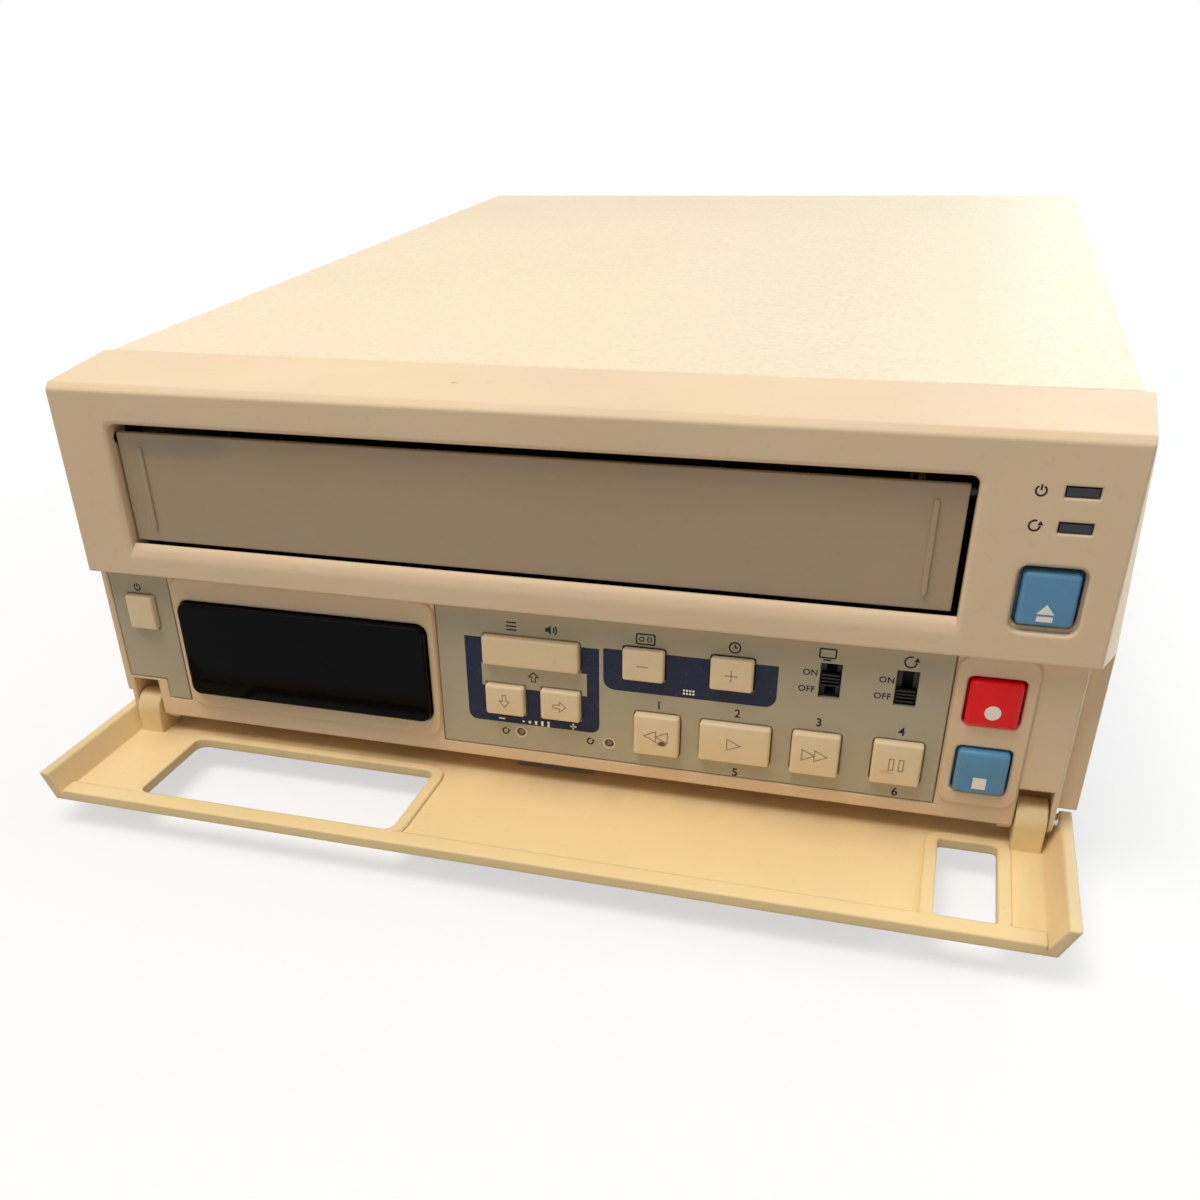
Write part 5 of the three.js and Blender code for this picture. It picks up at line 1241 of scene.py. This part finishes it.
def make_knobs():
    for node in ("onscreen_switch", "repeat_switch"):
        low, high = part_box(node)
        pitch = (high.z - low.z) / KNOB_RIDGES
        profile = [(low.y + KNOB_BODY_BACK, low.z)]
        for ridge in range(KNOB_RIDGES):
            base = low.z + ridge * pitch
            rise = 0 if ridge == 0 else RIDGE_DEPTH * 0.6
            profile += [(low.y + RIDGE_DEPTH + rise, base), (low.y + rise, base + pitch * 0.3),
                        (low.y + rise, base + pitch * 0.6), (low.y + RIDGE_DEPTH + rise, base + pitch * 0.95)]
        profile += [(low.y + KNOB_BODY_BACK, high.z)]

        def build(work):
            loft(work, [[work.verts.new((x, y, z)) for y, z in profile] for x in (low.x, high.x)])
            aside, above = KNOB_STEM_INSET
            rounded_block(work, (low.x + aside, low.z + above), (high.x - aside, high.z - above),
                          low.y + KNOB_BODY_BACK, high.y, FINE_EDGE_RADIUS, FINE_EDGE_RADIUS)

        piece = made_of(node + "_knob", "knob", node, build, 30)
        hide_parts(node)


# The stage

FLOOR_HALF = 12
FLOOR_GREY = (0.45, 0.437, 0.41)
FLOOR_SHOWN = (0.97, 0.97, 0.97)
SHADOW_SHARE = 0.4
SHADOW_REACH = 0.22
# The floor keeps its full shadow under the body, from just behind its front
UNDER_EDGE = 4 * MM
UNDER_FRONT = (-152 * MM, -148 * MM)


def flat_square(work):
    bmesh.ops.create_grid(work, x_segments=1, y_segments=1, size=FLOOR_HALF)


def make_stage():
    floor = linked("floor", mesh_from("floor", flat_square))
    finish = Finish("floor", FLOOR_GREY, 0.8)
    finish.vary_roughness(finish.noise(2), 0.75, 0.85)
    seen = finish.seen_directly()
    finish.blend_colour(seen, FLOOR_SHOWN)
    low, high = cad_box
    half = (high[0] - low[0]) / 2
    aside = finish.math("SUBTRACT", finish.math("ABSOLUTE", finish.along("X")), half)
    ahead = finish.math("SUBTRACT", low[1], finish.along("Y"))
    behind = finish.math("SUBTRACT", finish.along("Y"), high[1])
    away = finish.math("MAXIMUM", aside, finish.math("MAXIMUM", ahead, behind))
    faded = finish.math("MULTIPLY", finish.ramp(away, SHADOW_REACH, 0), SHADOW_SHARE)
    under = finish.math("MULTIPLY", finish.ramp(away, 0, -UNDER_EDGE), finish.axis_share("Y", *UNDER_FRONT))
    kept = finish.math("MAXIMUM", faded, under)
    whitened = finish.math("MULTIPLY", seen, finish.math("SUBTRACT", 1, kept))
    white = finish.node("ShaderNodeEmission").outputs["Emission"]
    finish.show("Material Output", whitened, finish.shader.outputs["BSDF"], white)
    floor.data.materials.append(finish.material)


def area_lamp(name, place, target, size, watts, colour):
    data = bpy.data.lights.new(name, "AREA")
    data.shape = "SQUARE"
    data.size = size
    data.energy = watts
    data.color = colour
    lamp = linked(name, data)
    lamp.location = place
    way = Vector(target) - Vector(place)
    lamp.rotation_mode = "QUATERNION"
    lamp.rotation_quaternion = way.to_track_quat("-Z", "Y")


WORLD_STRENGTH = 0.25
WORLD_TINT = (1, 0.985, 0.96, 1)
# Each lamp's name, place, target, size, watts and colour
LAMPS = (
    ("overhead_lamp", (-0.3, -0.45, 1.4), (0, -0.05, 0), 0.85, 15.5, (1, 0.965, 0.9)),
    ("side_lamp", (1.0, 0.3, 0.4), (0, 0.1, 0.1), 0.7, 7, (0.74, 0.88, 1.0)),
    ("rear_lamp", (0.5, 1.5, 0.42), (0.05, 0.1, 0.1), 0.7, 4.4, (0.78, 0.9, 1.0)),
)


def make_light():
    world = bpy.data.worlds.new("world")
    world.use_nodes = True
    tree = Tree(world.node_tree)
    soft = world.node_tree.nodes["Background"]
    soft.inputs["Color"].default_value = WORLD_TINT
    soft.inputs["Strength"].default_value = WORLD_STRENGTH
    white = tree.node("ShaderNodeBackground", {"Color": (1, 1, 1, 1)})
    tree.show("World Output", tree.seen_directly(), soft.outputs["Background"], white.outputs["Background"])
    bpy.context.scene.world = world
    for lamp in LAMPS:
        area_lamp(*lamp)
    bpy.context.scene.view_settings.view_transform = "Standard"


make_camera()
dress_nodes()
ease_shells()
make_caps()
make_cap_marks()
make_plate_prints()
make_switch_words()
make_signs()
make_knobs()
make_seam_shade()
make_dust_screen()
make_screws()
make_jack_rings()
make_inlet_pins()
make_stage()
make_light()
